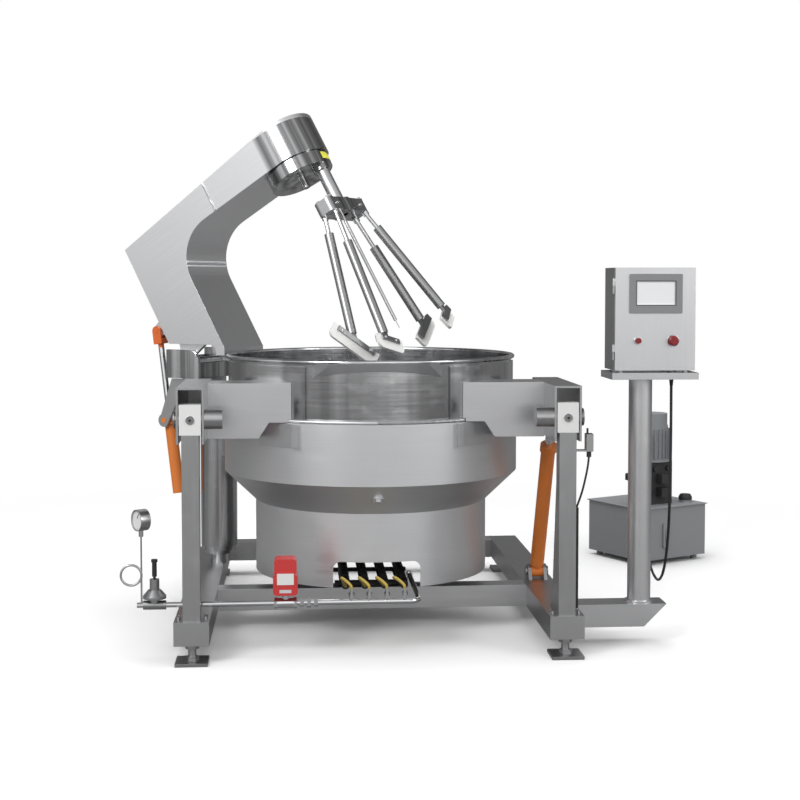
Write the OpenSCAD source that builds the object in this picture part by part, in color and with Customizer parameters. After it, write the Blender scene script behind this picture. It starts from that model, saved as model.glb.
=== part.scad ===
// Tilting planetary cooking mixer. A gas fired pot hangs from two trunnions at its front,
// so that it pours over its lip. A swan arm on the same tilting frame carries a planetary
// head with four sprung scraper legs. The base holds the burners, the control cabinet and
// a separate oil pump. Sizes are in millimetres. The modules are drawn round the pot's
// axis, which is X = Y = 0, with the floor at Z = 0, and at_feet() moves the whole machine
// so that the origin is in the middle of the four anchor holes.

/* [Pot] */
// Outside radius of the pot wall
pot_r = 585; // [565:1:600]
// Thickness of the pot wall
pot_wall = 4; // [3:0.5:6]
// Height of the top of the pot wall
pot_top = 1100; // [1080:1:1130]
// Height at which the straight wall turns into the dished bottom
dish_z = 866; // [850:1:880]
// Depth of the dished bottom
dish_depth = 352; // [300:1:360]
// Radius of the rolled rim's tube
rim_tube_r = 9; // [6:0.5:12]
// Outside radius of the heating jacket
jacket_r = 607.5; // [600:0.5:615]
// Height of the lower edge of the jacket's straight band
band_bottom = 632; // [600:1:660]
// Outside radius of the burner skirt
skirt_r = 480; // [450:1:500]
// Height at which the jacket's cone meets the skirt
cone_bottom = 509; // [490:1:530]
// Height of the skirt's lower edge
skirt_bottom = 217; // [214:1:240]
// Thickness of the jacket and skirt sheet
jacket_sheet = 3; // [2:0.5:4]
// Width of the hose notch in the skirt
notch_w = 340; // [320:1:380]
// Height of the hose notch in the skirt
notch_h = 104; // [95:1:120]
// Width of the pouring lip where it leaves the pot
lip_w = 500; // [440:1:520]
// Reach of the pouring lip in front of the pot wall
lip_reach = 72; // [50:1:90]
// Height of the pouring lip
lip_h = 64; // [50:1:80]

/* [Tilting frame] */
// Distance of each trunnion and post from the machine's middle
side_x = 697; // [697:1:720]
// Distance of the trunnion axis in front of the pot's axis
trunnion_y = 692; // [670:1:710]
// Height of the trunnion axis
trunnion_z = 901; // [895:1:915]
// Radius of the trunnions' journals in their bearings
trunnion_r = 25; // [20:1:28]
// Radius of the trunnions' hubs beside the side channels
hub_r = 36; // [32:1:40]
// Width of the side channels
channel_w = 102; // [100:1:110]
// Plate thickness of the side channels
channel_plate = 8; // [6:0.5:9]
// Height of the top of the side channels
channel_top = 1019; // [1012:1:1030]
// Height of the lower edge of the side channels
channel_bottom = 812; // [805:1:818]
// Distance from the pot's axis back to the rear end of the side channels
channel_back = 220; // [200:1:240]
// Distance of the ears' front face in front of the pot's axis
ear_front = 503; // [490:1:520]
// Depth of the ears from front to back
ear_depth = 170; // [120:1:190]
// Height of the top of the rear beam that carries the arm
beam_top = 984; // [980:1:990]
// Height of the rear beam's section
beam_h = 100; // [90:1:105]
// Distance of the rear beam's end behind the pot's axis
beam_back = 640; // [620:1:680]
// Largest tilt of the pot, in degrees
tilt_max = 80; // [60:1:85]

/* [Arm] */
// Turn of the arm's plane away from the X axis, in degrees
arm_turn = 32; // [30:1:34]
// Width of the arm
arm_w = 300; // [280:1:310]
// Sheet thickness of the arm
arm_sheet = 4; // [3:0.5:6]
// Distance of the arm's pivot from the pot's axis
pivot_s = 830; // [825:1:835]
// Height of the arm's pivot
pivot_z = 1051; // [1048:1:1056]
// Angle by which the arm is raised at rest, in degrees
arm_raise = 30; // [28:0.5:32]
// Radius of the arm's pivot shaft
arm_shaft_r = 25; // [20:1:28]
// Thickness of the pedestal's cheeks
cheek_t = 16; // [12:1:20]
// Depth of the neck from back to front
neck_d = 249; // [235:1:252]
// Height of the elbow above the pivot with the arm lowered
elbow_h = 599; // [590:1:620]
// Height of the arm's underside above the pivot with the arm lowered
under_h = 495; // [485:1:500]
// Radius of the curve between the neck and the underside
arm_curve = 188; // [150:1:200]
// Rise of the arm's top edge for each millimetre towards the nose
top_slope = 0.068; // [0.04:0.002:0.08]

/* [Planetary head] */
// Distance of the tool's axis from the head's axis, half of the two gears' pitch circles
gear_module = 4; // [4:0.1:4.1]
// Teeth of the fixed sun gear
sun_teeth = 36; // [36:1:36]
// Teeth of the planet gear, an even number
planet_teeth = 14; // [14:2:14]
// Thickness of the gears
gear_t = 28; // [22:1:29]
// Outside radius of the turning drum
drum_r = 140; // [139:0.5:146]
// Height of the turning drum
drum_h = 58; // [58:1:66]
// Radius of the tool shaft
tool_shaft_r = 28; // [24:1:32]
// Length of the tool shaft between the drum and the hub
tool_shaft_l = 154; // [130:1:165]
// Length of the hub bar
hub_l = 300; // [290:1:320]
// Width of the hub bar
hub_w = 84; // [80:1:96]
// Height of the hub bar
hub_h = 60; // [50:1:66]
// Radius of the legs' chrome rods
leg_rod_r = 9; // [7:0.5:11]
// Radius of the legs' sleeves
sleeve_r = 19.5; // [17:0.5:22]
// Travel of the sprung sleeves
leg_travel = 25; // [15:1:28]
// Thickness of the plastic scraper blades
blade_t = 12; // [8:1:14]
// Length of the probe below the hub
probe_l = 510; // [400:5:540]

/* [Base] */
// Width of the side rails
rail_w = 130; // [120:1:136]
// Height of the side rails
rail_h = 88; // [80:1:100]
// Height of the rails' lower edge
rail_z = 70; // [60:1:90]
// Wall thickness of the rails and beams
tube_t = 5; // [3:0.5:8]
// Distance of the rails' front end in front of the pot's axis
rail_front = 735; // [730:1:760]
// Distance of the rails' rear end behind the pot's axis
rail_back = 960; // [920:1:1000]
// Side of the square posts
post_w = 64; // [60:1:70]
// Width of the bearing blocks
block_w = 80; // [74:1:82]
// Height of the bearing blocks
block_h = 112; // [104:1:120]
// Distance of the front feet in front of the pot's axis
foot_front = 690; // [680:1:700]
// Distance of the rear feet behind the pot's axis
foot_rear = 900; // [860:1:910]
// Radius of the anchor holes in the sole plates
anchor_r = 7; // [5:0.5:9]
// Radius of the rest column under the rear beam
column_r = 80; // [70:1:84]

/* [Tilt cylinder] */
// Height of the cylinder's lower pivot
tilt_base_z = 190; // [188:1:200]
// Distance of the lower pivot in front of the pot's axis
tilt_base_y = 40; // [20:1:60]
// Distance of the upper pivot in front of the pot's axis
tilt_eye_y = 375; // [365:1:385]
// Height of the upper pivot
tilt_eye_z = 870; // [865:1:880]
// Outside radius of the cylinder
tilt_barrel_r = 28.5; // [26:0.5:32]
// Radius of the cylinder's rod
tilt_rod_r = 16; // [12:0.5:18]

/* [Lift cylinder] */
// Distance from the pot's axis to the lift cylinder's trunnion, along the arm
lift_s = 995; // [990:1:1005]
// Height of the lift cylinder's trunnion
lift_z = 790; // [780:1:800]
// Outside radius of the lift cylinder
lift_barrel_r = 26; // [22:0.5:28]
// Radius of the lift cylinder's rod
lift_rod_r = 13; // [10:0.5:13]

/* [Gas train] */
// Radius of the gas pipe
pipe_r = 10; // [8:0.5:12]
// Height of the gas pipe
pipe_z = 200; // [196:1:203]
// Distance of the gas pipe in front of the pot's axis
pipe_y = 620; // [610:1:635]
// Distance between neighbouring burner taps
tap_pitch = 67; // [60:1:72]
// Distance between neighbouring bar burners
burner_pitch = 78; // [70:1:80]
// Outer radius of the gas hoses
hose_r = 5.5; // [4:0.5:8]

/* [Control cabinet] */
// Width of the cabinet
cab_w = 310; // [300:1:330]
// Height of the cabinet
cab_h = 392; // [380:1:420]
// Depth of the cabinet
cab_d = 180; // [160:1:200]
// Height of the cabinet's lower face
cab_z = 1067; // [1050:1:1080]
// Distance of the cabinet's middle to the right of the pot's axis
cab_x = 1054; // [1050:1:1060]
// Radius of the cabinet's post
stand_r = 45; // [40:1:50]
// Radius of the emergency stop's head
stop_r = 20; // [16:1:22]
// Largest opening of the cabinet's door, in degrees
door_open = 100; // [90:1:110]

/* [Oil pump] */
// Side of the square oil tank
tank_w = 415; // [405:1:440]
// Height of the oil tank
tank_h = 260; // [240:1:280]
// Turn of the oil tank, in degrees
tank_turn = 28; // [20:1:35]
// Radius of the pump motor
motor_r = 98; // [90:1:105]

/* [Hidden] */
$fn = 48;
steel = "#b9bbbd";
dark_steel = "#8d9093";
chrome = "#d7d9db";
orange = "#e2782d";
red = "#c8322d";
white = "#f1f1ee";
black = "#26282a";
yellow = "#e0b93c";

// A seat is the gap between pieces that touch, and a fit is a shaft's clearance in its bore
seat = 0.2;
fit = 0.05;
run = 1;

rail_top = rail_z + rail_h;
mid_y = (foot_rear - foot_front) / 2;
post_front = trunnion_y + post_w / 2;
block_bottom = trunnion_z - block_h / 2;
channel_in = side_x - channel_w / 2;
pot_in = pot_r - pot_wall;
saddle_r = pot_r + 8;
lug_shift = post_w / 2;

// The whole machine stands with its origin in the middle of its anchor holes
module at_feet() { translate([0, -mid_y, 0]) children(); }
module both_sides() { children(); mirror([1, 0, 0]) children(); }
// A plate drawn in X and Z, with its thickness along Y and its middle at Y = 0
module plate_xz(t) { translate([0, t / 2, 0]) rotate([90, 0, 0]) linear_extrude(t) children(); }
// A plate drawn in Y and Z, with its thickness along X and its middle at X = 0
module plate_yz(t) {
  translate([-t / 2, 0, 0]) rotate([90, 0, 90]) linear_extrude(t) children();
}
module bar_x(r, l) { rotate([0, 90, 0]) cylinder(r = r, h = l, center = true); }
module bar_y(r, l) { rotate([90, 0, 0]) cylinder(r = r, h = l, center = true); }
module block(x, y, z) { translate([-x / 2, -y / 2, 0]) cube([x, y, z]); }
module ring(r, inner, h, sides = 48) {
  difference() {
    cylinder(r = r, h = h, $fn = sides);
    translate([0, 0, -1]) cylinder(r = inner, h = h + 2, $fn = sides);
  }
}

// Geometry of outlines
function arc(c, r, a0, a1, n) = [for (i = [0:n]) let (a = a0 + (a1 - a0) * i / n)
  [c.x + r * cos(a), c.y + r * sin(a)]];
function unit(v) = v / norm(v);
// The left-hand normal of the edge from a to b
function normal(a, b) = let (d = unit(b - a)) [-d.y, d.x];
// An outline moved inwards by t; its points run anticlockwise
function inset(p, t) = [for (i = [0:len(p) - 1]) let (
  n1 = normal(p[(i + len(p) - 1) % len(p)], p[i]),
  n2 = normal(p[i], p[(i + 1) % len(p)])) p[i] + t * (n1 + n2) / (1 + n1 * n2)];
module round_rect(w, h, r) {
  polygon(concat(arc([w / 2 - r, h / 2 - r], r, 0, 90, 6),
    arc([r - w / 2, h / 2 - r], r, 90, 180, 6), arc([r - w / 2, r - h / 2], r, 180, 270, 6),
    arc([w / 2 - r, r - h / 2], r, 270, 360, 6)));
}

// A tube swept along a route of points, with flat ends
function cross3(a, b) = [a.y * b.z - a.z * b.y, a.z * b.x - a.x * b.z, a.x * b.y - a.y * b.x];
function way(p, i) = unit(p[min(i + 1, len(p) - 1)] - p[max(i - 1, 0)]);
// Points between those of a route, on one smooth curve through all of them
function spline(a, b, c, d, t) = b + 0.5 * t * (c - a + t * (2 * a - 5 * b + 4 * c - d
  + t * (3 * (b - c) + d - a)));
function smooth(p, n) = concat([for (i = [0:len(p) - 2]) for (k = [0:n - 1])
  spline(p[max(i - 1, 0)], p[i], p[i + 1], p[min(i + 2, len(p) - 1)], k / n)],
  [p[len(p) - 1]]);
module hose(p, r, side, sides = 8) {
  rings = [for (i = [0:len(p) - 1]) let (d = way(p, i), u = unit(cross3(d, side)),
    v = cross3(d, u)) for (k = [0:sides - 1]) p[i] + r * (u * cos(360 * k / sides)
    + v * sin(360 * k / sides))];
  last = len(p) - 1;
  polyhedron(rings, concat([[for (k = [0:sides - 1]) k]],
    [for (i = [0:last - 1]) for (k = [0:sides - 1]) [i * sides + (k + 1) % sides,
      i * sides + k, (i + 1) * sides + k, (i + 1) * sides + (k + 1) % sides]],
    [[for (k = [0:sides - 1]) last * sides + sides - 1 - k]]));
}

/* Pot */
function dish(r, depth, n) = [for (i = [0:n]) let (a = 90 * i / n)
  [r * cos(a), dish_z - depth * sin(a)]];

module bowl() {
  color(steel) {
    rotate_extrude($fn = 96) polygon(concat([[pot_in, pot_top], [pot_r, pot_top]],
      dish(pot_r, dish_depth, 20), [for (i = [20:-1:0]) dish(pot_in,
        dish_depth - pot_wall, 20)[i]]));
    rotate_extrude($fn = 96) translate([pot_r + rim_tube_r - pot_wall, pot_top])
      circle(rim_tube_r, $fn = 24);
  }
}

module notch(w, h) {
  translate([0, -skirt_r, skirt_bottom - 1]) plate_xz(200)
    polygon(concat([[-w / 2, 0], [w / 2, 0]], arc([w / 2 - 30, h - 30], 30, 0, 90, 6),
      arc([30 - w / 2, h - 30], 30, 90, 180, 6)));
}

module jacket() {
  t = jacket_sheet;
  color(steel) difference() {
    rotate_extrude($fn = 96) polygon([[pot_r + seat, dish_z], [jacket_r, dish_z],
      [jacket_r, band_bottom], [skirt_r, cone_bottom], [skirt_r, skirt_bottom],
      [skirt_r - t, skirt_bottom], [skirt_r - t, cone_bottom + t], [jacket_r - t,
      band_bottom + t], [jacket_r - t, dish_z - t], [pot_r + seat, dish_z - t]]);
    notch(notch_w, notch_h);
  }
  // The rolled bead on the jacket's shoulder
  color(chrome) rotate_extrude($fn = 96) translate([jacket_r - 7, dish_z + 7])
    circle(7, $fn = 24);
  // The drain plug on the front of the cone
  drain_z = (band_bottom + cone_bottom) / 2;
  lean = atan((jacket_r - skirt_r) / (band_bottom - cone_bottom));
  color(dark_steel) translate([0, -(jacket_r + skirt_r) / 2, drain_z])
    rotate([90 + lean, 0, 0]) {
      cylinder(r = 26, h = 6);
      cylinder(r = 17, h = 16, $fn = 6);
    }
}

// The lip is a folded sheet: a bottom that slopes up to a free edge, and two cheeks
module lip_wedge(t) {
  back = -(pot_r - 60);
  front = -(pot_r + lip_reach - t);
  x0 = lip_w / 2 - t;
  x1 = lip_w / 2 - 68 - t;
  low = pot_top - lip_h + 1.6 * t;
  top = pot_top + (t > 0 ? 1 : 0);
  polyhedron([[-x0, back, low], [x0, back, low], [-x0, back, top], [x0, back, top],
    [-x1, front, top], [x1, front, top]], [[0, 1, 3, 2], [2, 3, 5, 4], [0, 4, 5, 1],
    [0, 2, 4], [1, 5, 3]]);
}
module pouring_lip() {
  color(dark_steel) {
    difference() {
      lip_wedge(0);
      lip_wedge(3);
      cylinder(r = pot_r + seat, h = 2 * pot_top, $fn = 96);
      translate([0, 0, pot_top - rim_tube_r - seat])
        cylinder(r = pot_r + 2 * rim_tube_r - pot_wall + seat, h = 40, $fn = 96);
    }
  }
}

/* Tilting frame */
module side_channels() {
  length = post_front - channel_back;
  color(steel) both_sides() difference() {
    translate([side_x, -channel_back - length / 2, 0]) rotate([90, 0, 0])
      translate([0, 0, -length / 2]) linear_extrude(length) polygon([
        [-channel_w / 2, channel_bottom], [channel_plate - channel_w / 2, channel_bottom],
        [channel_plate - channel_w / 2, channel_top - channel_plate],
        [channel_w / 2 - channel_plate, channel_top - channel_plate],
        [channel_w / 2 - channel_plate, channel_bottom], [channel_w / 2, channel_bottom],
        [channel_w / 2, channel_top], [-channel_w / 2, channel_top]]);
    translate([side_x, -trunnion_y, trunnion_z]) bar_x(trunnion_r + seat, 2 * channel_w);
  }
}

module trunnion_shafts() {
  hub_l = 66;
  color(dark_steel) both_sides() translate([side_x, -trunnion_y, trunnion_z]) {
    bar_x(trunnion_r, channel_w + 12);
    translate([-(channel_w + hub_l) / 2 - seat, 0, 0]) bar_x(hub_r, hub_l);
    translate([channel_w / 2 + 6, 0, 0]) rotate([0, 90, 0]) ring(trunnion_r + 8, 8, 5);
  }
}

// Each ear is a closed box from the side channel to the saddle on the pot
module pot_ears() {
  inner = 330;
  color(steel) both_sides() {
    difference() {
      translate([0, ear_depth / 2 - ear_front, 0]) plate_xz(ear_depth) polygon([
        [channel_in, channel_bottom - 4], [channel_in, channel_top], [inner, channel_top],
        [inner, dish_z + 2], [inner + 84, dish_z + 2], [inner + 124, channel_bottom - 4]]);
      cylinder(r = saddle_r + seat, h = 2 * pot_top, $fn = 180);
      cylinder(r = jacket_r + seat, h = dish_z + 14 + seat, $fn = 180);
    }
    // A curved rib on the jacket ends each ear in an upright stop
    intersection() {
      translate([0, 0, dish_z - 92]) ring(jacket_r + seat + 6, jacket_r + seat, 90, 180);
      translate([inner - 25, -jacket_r - 20, 0]) cube([150, jacket_r, pot_top]);
    }
    intersection() {
      translate([0, 0, dish_z - 92]) ring(jacket_r + 20, jacket_r + seat + 5, 90, 180);
      translate([inner - 25, -jacket_r - 20, 0]) cube([26, jacket_r, pot_top]);
    }
  }
}

// The saddles are curved pads on the pot wall
module ear_saddles() {
  color(chrome) both_sides() translate([0, 0, dish_z + 14 + seat])
    rotate([0, 0, -62]) rotate_extrude(angle = 54, $fn = 180)
      translate([pot_r + seat, 0]) square([saddle_r - pot_r - seat, pot_top - 32 - dish_z]);
}

module rear_beam() {
  x0 = side_x + rail_w / 2;
  y0 = -channel_back;
  cheek_gap = 34;
  color(steel) {
    translate([-side_x, (beam_back + y0) / 2, beam_top - beam_h]) difference() {
      block(rail_w, beam_back - y0, beam_h);
      translate([0, 0, tube_t]) block(rail_w - 2 * tube_t, beam_back - y0 - 2 * tube_t,
        beam_h - 2 * tube_t);
    }
    // The tie between the beam and the pot wall
    difference() {
      translate([-side_x + rail_w / 2 - 1, -70, beam_top - beam_h]) cube([80, 140, beam_h]);
      cylinder(r = pot_r + seat, h = 2 * pot_top, $fn = 96);
    }
    // The cheeks that carry the lift cylinder's trunnion
    in_arm_plane() for (side = [-1, 1]) translate([0, lift_t + side * (cheek_gap + 6), 0])
      difference() {
        plate_xz(12) polygon(concat(arc([-lift_s, lift_z], 30, 120, 300, 12),
          [[-lift_s + 75, beam_top - beam_h], [5 - pivot_s, beam_top - beam_h],
          [5 - pivot_s, beam_top - 6], [-lift_s + 45, beam_top - 6]]));
        translate([-lift_s, 0, lift_z]) bar_y(12 + fit, 40);
      }
  }
}

/* Arm. Its plane holds the pot's axis; x runs along it and y across it */
lift_t = -60;
module in_arm_plane() { rotate([0, 0, -arm_turn]) children(); }
module on_arm() {
  in_arm_plane() translate([-pivot_s, 0, pivot_z]) rotate([0, -arm_raise, 0]) children();
}
// A point given for the raised arm, in the lowered arm's own axes round the pivot
function lowered(p) = [p.x * cos(arm_raise) + p.y * sin(arm_raise),
  p.y * cos(arm_raise) - p.x * sin(arm_raise)];

cheek_r = 58;
pedestal_back = 945;
notch_top = 83;
neck_back = -45;
neck_front = neck_back + neck_d;
head_x = pivot_s;
nose_r = arm_w / 2;

module arm_pedestal() {
  back = pivot_s - pedestal_back;
  foot = beam_top - pivot_z + seat;
  outline = concat(arc([0, 0], cheek_r, 0, 90, 12), [[back, cheek_r], [back, foot],
    [cheek_r, foot]]);
  color(dark_steel) in_arm_plane() translate([-pivot_s, 0, pivot_z]) {
    for (side = [-1, 1]) translate([0, side * (arm_w - cheek_t) / 2, 0]) difference() {
      plate_xz(cheek_t) polygon(outline);
      // The front cheek's bore is blind, and the shaft goes in from the back
      translate([0, side > 0 ? 0 : cheek_t - 4, 0]) bar_y(arm_shaft_r + fit, 2 * cheek_t);
    }
    translate([back, cheek_t - arm_w / 2, foot]) cube([cheek_r - back,
      arm_w - 2 * cheek_t, 12]);
    translate([back, cheek_t - arm_w / 2, foot + 12]) cube([10, arm_w - 2 * cheek_t, 80]);
    translate([cheek_r - 10, cheek_t - arm_w / 2, foot + 12]) cube([10,
      arm_w - 2 * cheek_t, -foot - 12]);
  }
}

// The arm's side outline round its pivot, with the arm lowered
function top_z(x) = elbow_h + top_slope * (x - neck_back);
rear_low = [neck_back, (notch_top - neck_back * sin(arm_raise)) / cos(arm_raise)];
front_low = [neck_front, (70 - neck_front * sin(arm_raise)) / cos(arm_raise)];
notch_r = 34;
strip_x = 151;
strip_z = 38;
front_x = front_low.x * cos(arm_raise) - front_low.y * sin(arm_raise);
arm_outline = concat(
  [rear_low],
  [for (p = arc([strip_x - notch_r, notch_top - notch_r], notch_r, 90, 0, 8)) lowered(p)],
  [lowered([strip_x, strip_z]), lowered([front_x, strip_z]), front_low],
  arc([neck_front + arm_curve, under_h - arm_curve], arm_curve, 180, 90, 16),
  [[head_x + nose_r, under_h], [head_x + nose_r, top_z(head_x + nose_r)],
  [neck_back, elbow_h]]);

module arm_plan(t) {
  hull() {
    translate([head_x, 0]) circle(nose_r - t, $fn = 64);
    translate([neck_back + t - 200, t - arm_w / 2]) square([1, arm_w - 2 * t]);
  }
}
module arm_body(t) {
  intersection() {
    plate_xz(arm_w - 2 * t) polygon(inset(arm_outline, t));
    union() {
      translate([-200, t - arm_w / 2, -200]) cube([head_x + 200, arm_w - 2 * t, 1200]);
      translate([head_x, 0, -200]) cylinder(r = nose_r - t, h = 1200, $fn = 96);
    }
  }
}
lug_inner = arm_w / 2 - cheek_t - 26;
module swan_arm() {
  color(steel) on_arm() {
    difference() {
      union() {
        arm_body(0);
        for (side = [-1, 1]) translate([0, side * (lug_inner + 10), 0])
          plate_xz(20) polygon(concat(arc([0, 0], 40, 150, 390, 20),
            [lowered([80, notch_top + 2]), lowered([-60, notch_top + 2])]));
        // The lug for the lift cylinder's rod
        translate([0, lift_t, 0]) plate_xz(24) polygon(concat(
          arc(lift_eye, 26, 90, 270, 14), [[neck_back + 2, lift_eye.y - 50],
          [neck_back + 2, lift_eye.y + 50]]));
      }
      arm_body(arm_sheet);
      translate([head_x, 0, under_h - 10]) cylinder(r = journal_r + run, h = 20);
      bar_y(arm_shaft_r + seat, 2 * arm_w);
      translate([lift_eye.x, lift_t, lift_eye.y]) bar_y(lift_pin_r + 6, 60);
    }
  }
}
module arm_shaft() {
  color(chrome) on_arm() {
    translate([0, 4.25, 0]) bar_y(arm_shaft_r, arm_w - 0.5);
    translate([0, arm_w / 2 + 7, 0]) bar_y(arm_shaft_r + 8, 6);
  }
}

/* Planetary head */
drum_low = under_h - run - drum_h;
journal_r = 25;
pin_r = 17;
gear_low = under_h - 3 - gear_t;
tool_off = gear_module * (sun_teeth + planet_teeth) / 2;
// Points of one tooth flank: the involute of the base circle, from the base to the tip
function involute(rb, r) = let (t = sqrt(max(0, (r / rb) * (r / rb) - 1)) * 180 / PI)
  [r, t - atan(t * PI / 180)];
function tooth(z, m) = let (rp = m * z / 2, rb = rp * cos(20), tip = rp + 0.95 * m,
  root = rp - 1.2 * m, half = 90 / z - 0.35, ref = involute(rb, rp)[1],
  low = max(rb, root), flank = [for (i = [0:4]) involute(rb, low + (tip - low) * i / 4)])
  concat([[root, -half - ref]], [for (f = flank) [f[0], f[1] - half - ref]],
    [for (i = [4:-1:0]) [flank[i][0], half + ref - flank[i][1]]], [[root, half + ref]]);
module gear(z, m, h, turn) {
  linear_extrude(h) polygon([for (k = [0:z - 1]) for (p = tooth(z, m))
    let (a = p[1] + 360 * k / z + turn) [p[0] * cos(a), p[0] * sin(a)]]);
}
module head_motor() {
  color(black) on_arm() translate([head_x, 0, under_h + arm_sheet]) difference() {
    union() {
      cylinder(r = 120, h = 12);
      cylinder(r = 92, h = 60);
      translate([0, 0, 60]) cylinder(r = 80, h = 70);
    }
    translate([0, 0, -1]) cylinder(r = journal_r + fit, h = 62);
  }
}
module sun_gear() {
  color(dark_steel) on_arm() translate([head_x, 0, gear_low]) difference() {
    union() {
      gear(sun_teeth, gear_module, gear_t, 0);
      translate([0, 0, gear_t]) cylinder(r = 60, h = 3);
    }
    translate([0, 0, -1]) cylinder(r = journal_r + fit, h = gear_t + 10);
  }
}
module head_drum() {
  color(dark_steel) on_arm() translate([head_x, 0, drum_low]) difference() {
    union() {
      ring(drum_r, drum_r - 5, drum_h);
      cylinder(r = drum_r, h = 8);
      translate([tool_off, 0, -24]) cylinder(r = 38, h = 24);
      translate([tool_off, 0, 0]) cylinder(r = pin_r + 8, h = 18);
      translate([0, 0, -44]) cylinder(r = 16, h = 44);
      cylinder(r = journal_r + 6, h = 14);
      cylinder(r = journal_r, h = drum_h + 55);
    }
    translate([tool_off, 0, -25]) cylinder(r = pin_r + fit, h = 45);
  }
}

/* Tool. Its own axes start at the middle of the hub, with the legs downwards */
hub_z = drum_low - 24 - run - tool_shaft_l - hub_h / 2;
module on_tool() { on_arm() translate([head_x + tool_off, 0, hub_z]) children(); }
// Each leg: its place on the hub, its lean about x and y, the rod shown above its sleeve,
// the sleeve's length, and the length, slope and turn of its blade
leg_a = [-28, -122, -10, 9.4, 78, 440, 230, 40, 243];
leg_b = [28, -122, -7.6, 1.8, 150, 424, 150, 12, 264];
leg_c = [-28, 136, 9.6, -2, 142, 370, 190, 22, 84];
leg_d = [28, 128, 9.7, -8.9, 84, 436, 170, 16, 96];
leg_top = hub_h / 2;
blade_drop = 36;
module on_leg(leg) {
  on_tool() translate([leg[0], leg[1], -leg_top]) rotate([leg[2], leg[3], 0]) children();
}
module tool_shaft() {
  color(chrome) on_tool() {
    translate([0, 0, hub_h / 2]) cylinder(r = tool_shaft_r, h = tool_shaft_l);
    cylinder(r = pin_r, h = gear_low - hub_z + gear_t);
    translate([0, 0, gear_low - hub_z]) gear(planet_teeth, gear_module, gear_t,
      180 / planet_teeth);
  }
}
module tool_hub() {
  color(dark_steel) on_tool() difference() {
    union() {
      translate([0, 0, -hub_h / 2]) linear_extrude(hub_h) rotate(90)
        round_rect(hub_l, hub_w, 22);
      translate([0, 0, -hub_h / 2]) cylinder(r = hub_w / 2 + 6, h = hub_h);
    }
    translate([0, 0, -hub_h]) cylinder(r = pin_r + seat, h = 2 * hub_h);
  }
}
module leg_rod(leg) {
  reach = leg[4] + leg[5] - leg_travel - 40;
  on_leg(leg) {
    translate([0, 0, -reach]) cylinder(r = leg_rod_r, h = reach + 12);
    translate([0, 0, -14]) cylinder(r = leg_rod_r + 5, h = 26);
  }
}
module leg_rods() {
  color(chrome) {
    difference() {
      for (leg = [leg_a, leg_b, leg_c, leg_d]) leg_rod(leg);
      on_tool() translate([-hub_w, -hub_l, -leg_top]) cube([2 * hub_w, 2 * hub_l, hub_l]);
    }
    on_tool() translate([6, -36, -leg_top - probe_l]) {
      cylinder(r = 7, h = probe_l);
      translate([0, 0, -36]) cylinder(r = 2, h = 36);
    }
  }
}
module leg_sleeve(leg) {
  color(chrome) on_leg(leg) translate([0, 0, -leg[4] - leg[5]]) {
    difference() {
      cylinder(r = sleeve_r, h = leg[5]);
      translate([0, 0, 10]) cylinder(r = leg_rod_r + 5, h = leg[5] - 26);
      translate([0, 0, 10]) cylinder(r = leg_rod_r + fit, h = leg[5]);
    }
    // The foot of the sleeve holds the blade's clamp bar
    translate([0, 0, -blade_drop]) rotate([0, 0, leg[8]]) block(30, 14, blade_drop + 1);
    blade_frame(leg) translate([0, 0, -14]) block(leg[6] - 30, 14, 30);
  }
}
module blade_frame(leg) {
  translate([0, 0, -blade_drop]) rotate([0, 0, leg[8]]) rotate([0, -leg[7], 0]) children();
}
// The blade is a plastic plate against the clamp bar, with a rounded lower edge
module scraper(leg) {
  l = leg[6];
  color(white) on_leg(leg) translate([0, 0, -leg[4] - leg[5]]) blade_frame(leg)
    translate([0, 7 + seat + blade_t / 2, 0]) plate_xz(blade_t) polygon(concat(
      [[l / 2, 12], [-l / 2, 12]], arc([24 - l / 2, -26], 24, 180, 270, 5),
      arc([l / 2 - 24, -26], 24, 270, 360, 5)));
}
module leg_sleeve_a() { leg_sleeve(leg_a); }
module leg_sleeve_b() { leg_sleeve(leg_b); }
module leg_sleeve_c() { leg_sleeve(leg_c); }
module leg_sleeve_d() { leg_sleeve(leg_d); }
module scraper_a() { scraper(leg_a); }
module scraper_b() { scraper(leg_b); }
module scraper_c() { scraper(leg_c); }
module scraper_d() { scraper(leg_d); }

/* Lift cylinder */
lift_eye = [-123, 227];
lift_pin_r = 10;
lift_eye_s = -pivot_s + lift_eye.x * cos(arm_raise) - lift_eye.y * sin(arm_raise);
lift_eye_z = pivot_z + lift_eye.x * sin(arm_raise) + lift_eye.y * cos(arm_raise);
lift_len = norm([lift_eye_s + lift_s, lift_eye_z - lift_z]);
lift_lean = atan2(lift_eye_s + lift_s, lift_eye_z - lift_z);
lift_barrel_l = 360;
module on_lift() {
  in_arm_plane() translate([-lift_s, lift_t, lift_z]) rotate([0, lift_lean, 0]) children();
}
module lift_barrel() {
  color(orange) on_lift() {
    difference() {
      union() {
        translate([0, 0, 30 - lift_barrel_l]) cylinder(r = lift_barrel_r, h = lift_barrel_l);
        translate([0, 0, -20]) block(60, 60, 40);
      }
      translate([0, 0, 42 - lift_barrel_l]) cylinder(r = lift_barrel_r - 6,
        h = lift_barrel_l - 30);
      translate([0, 0, -10]) cylinder(r = lift_rod_r + fit, h = 60);
    }
    for (side = [-1, 1]) translate([0, side * 38, 0]) bar_y(12, 18);
  }
}
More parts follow.
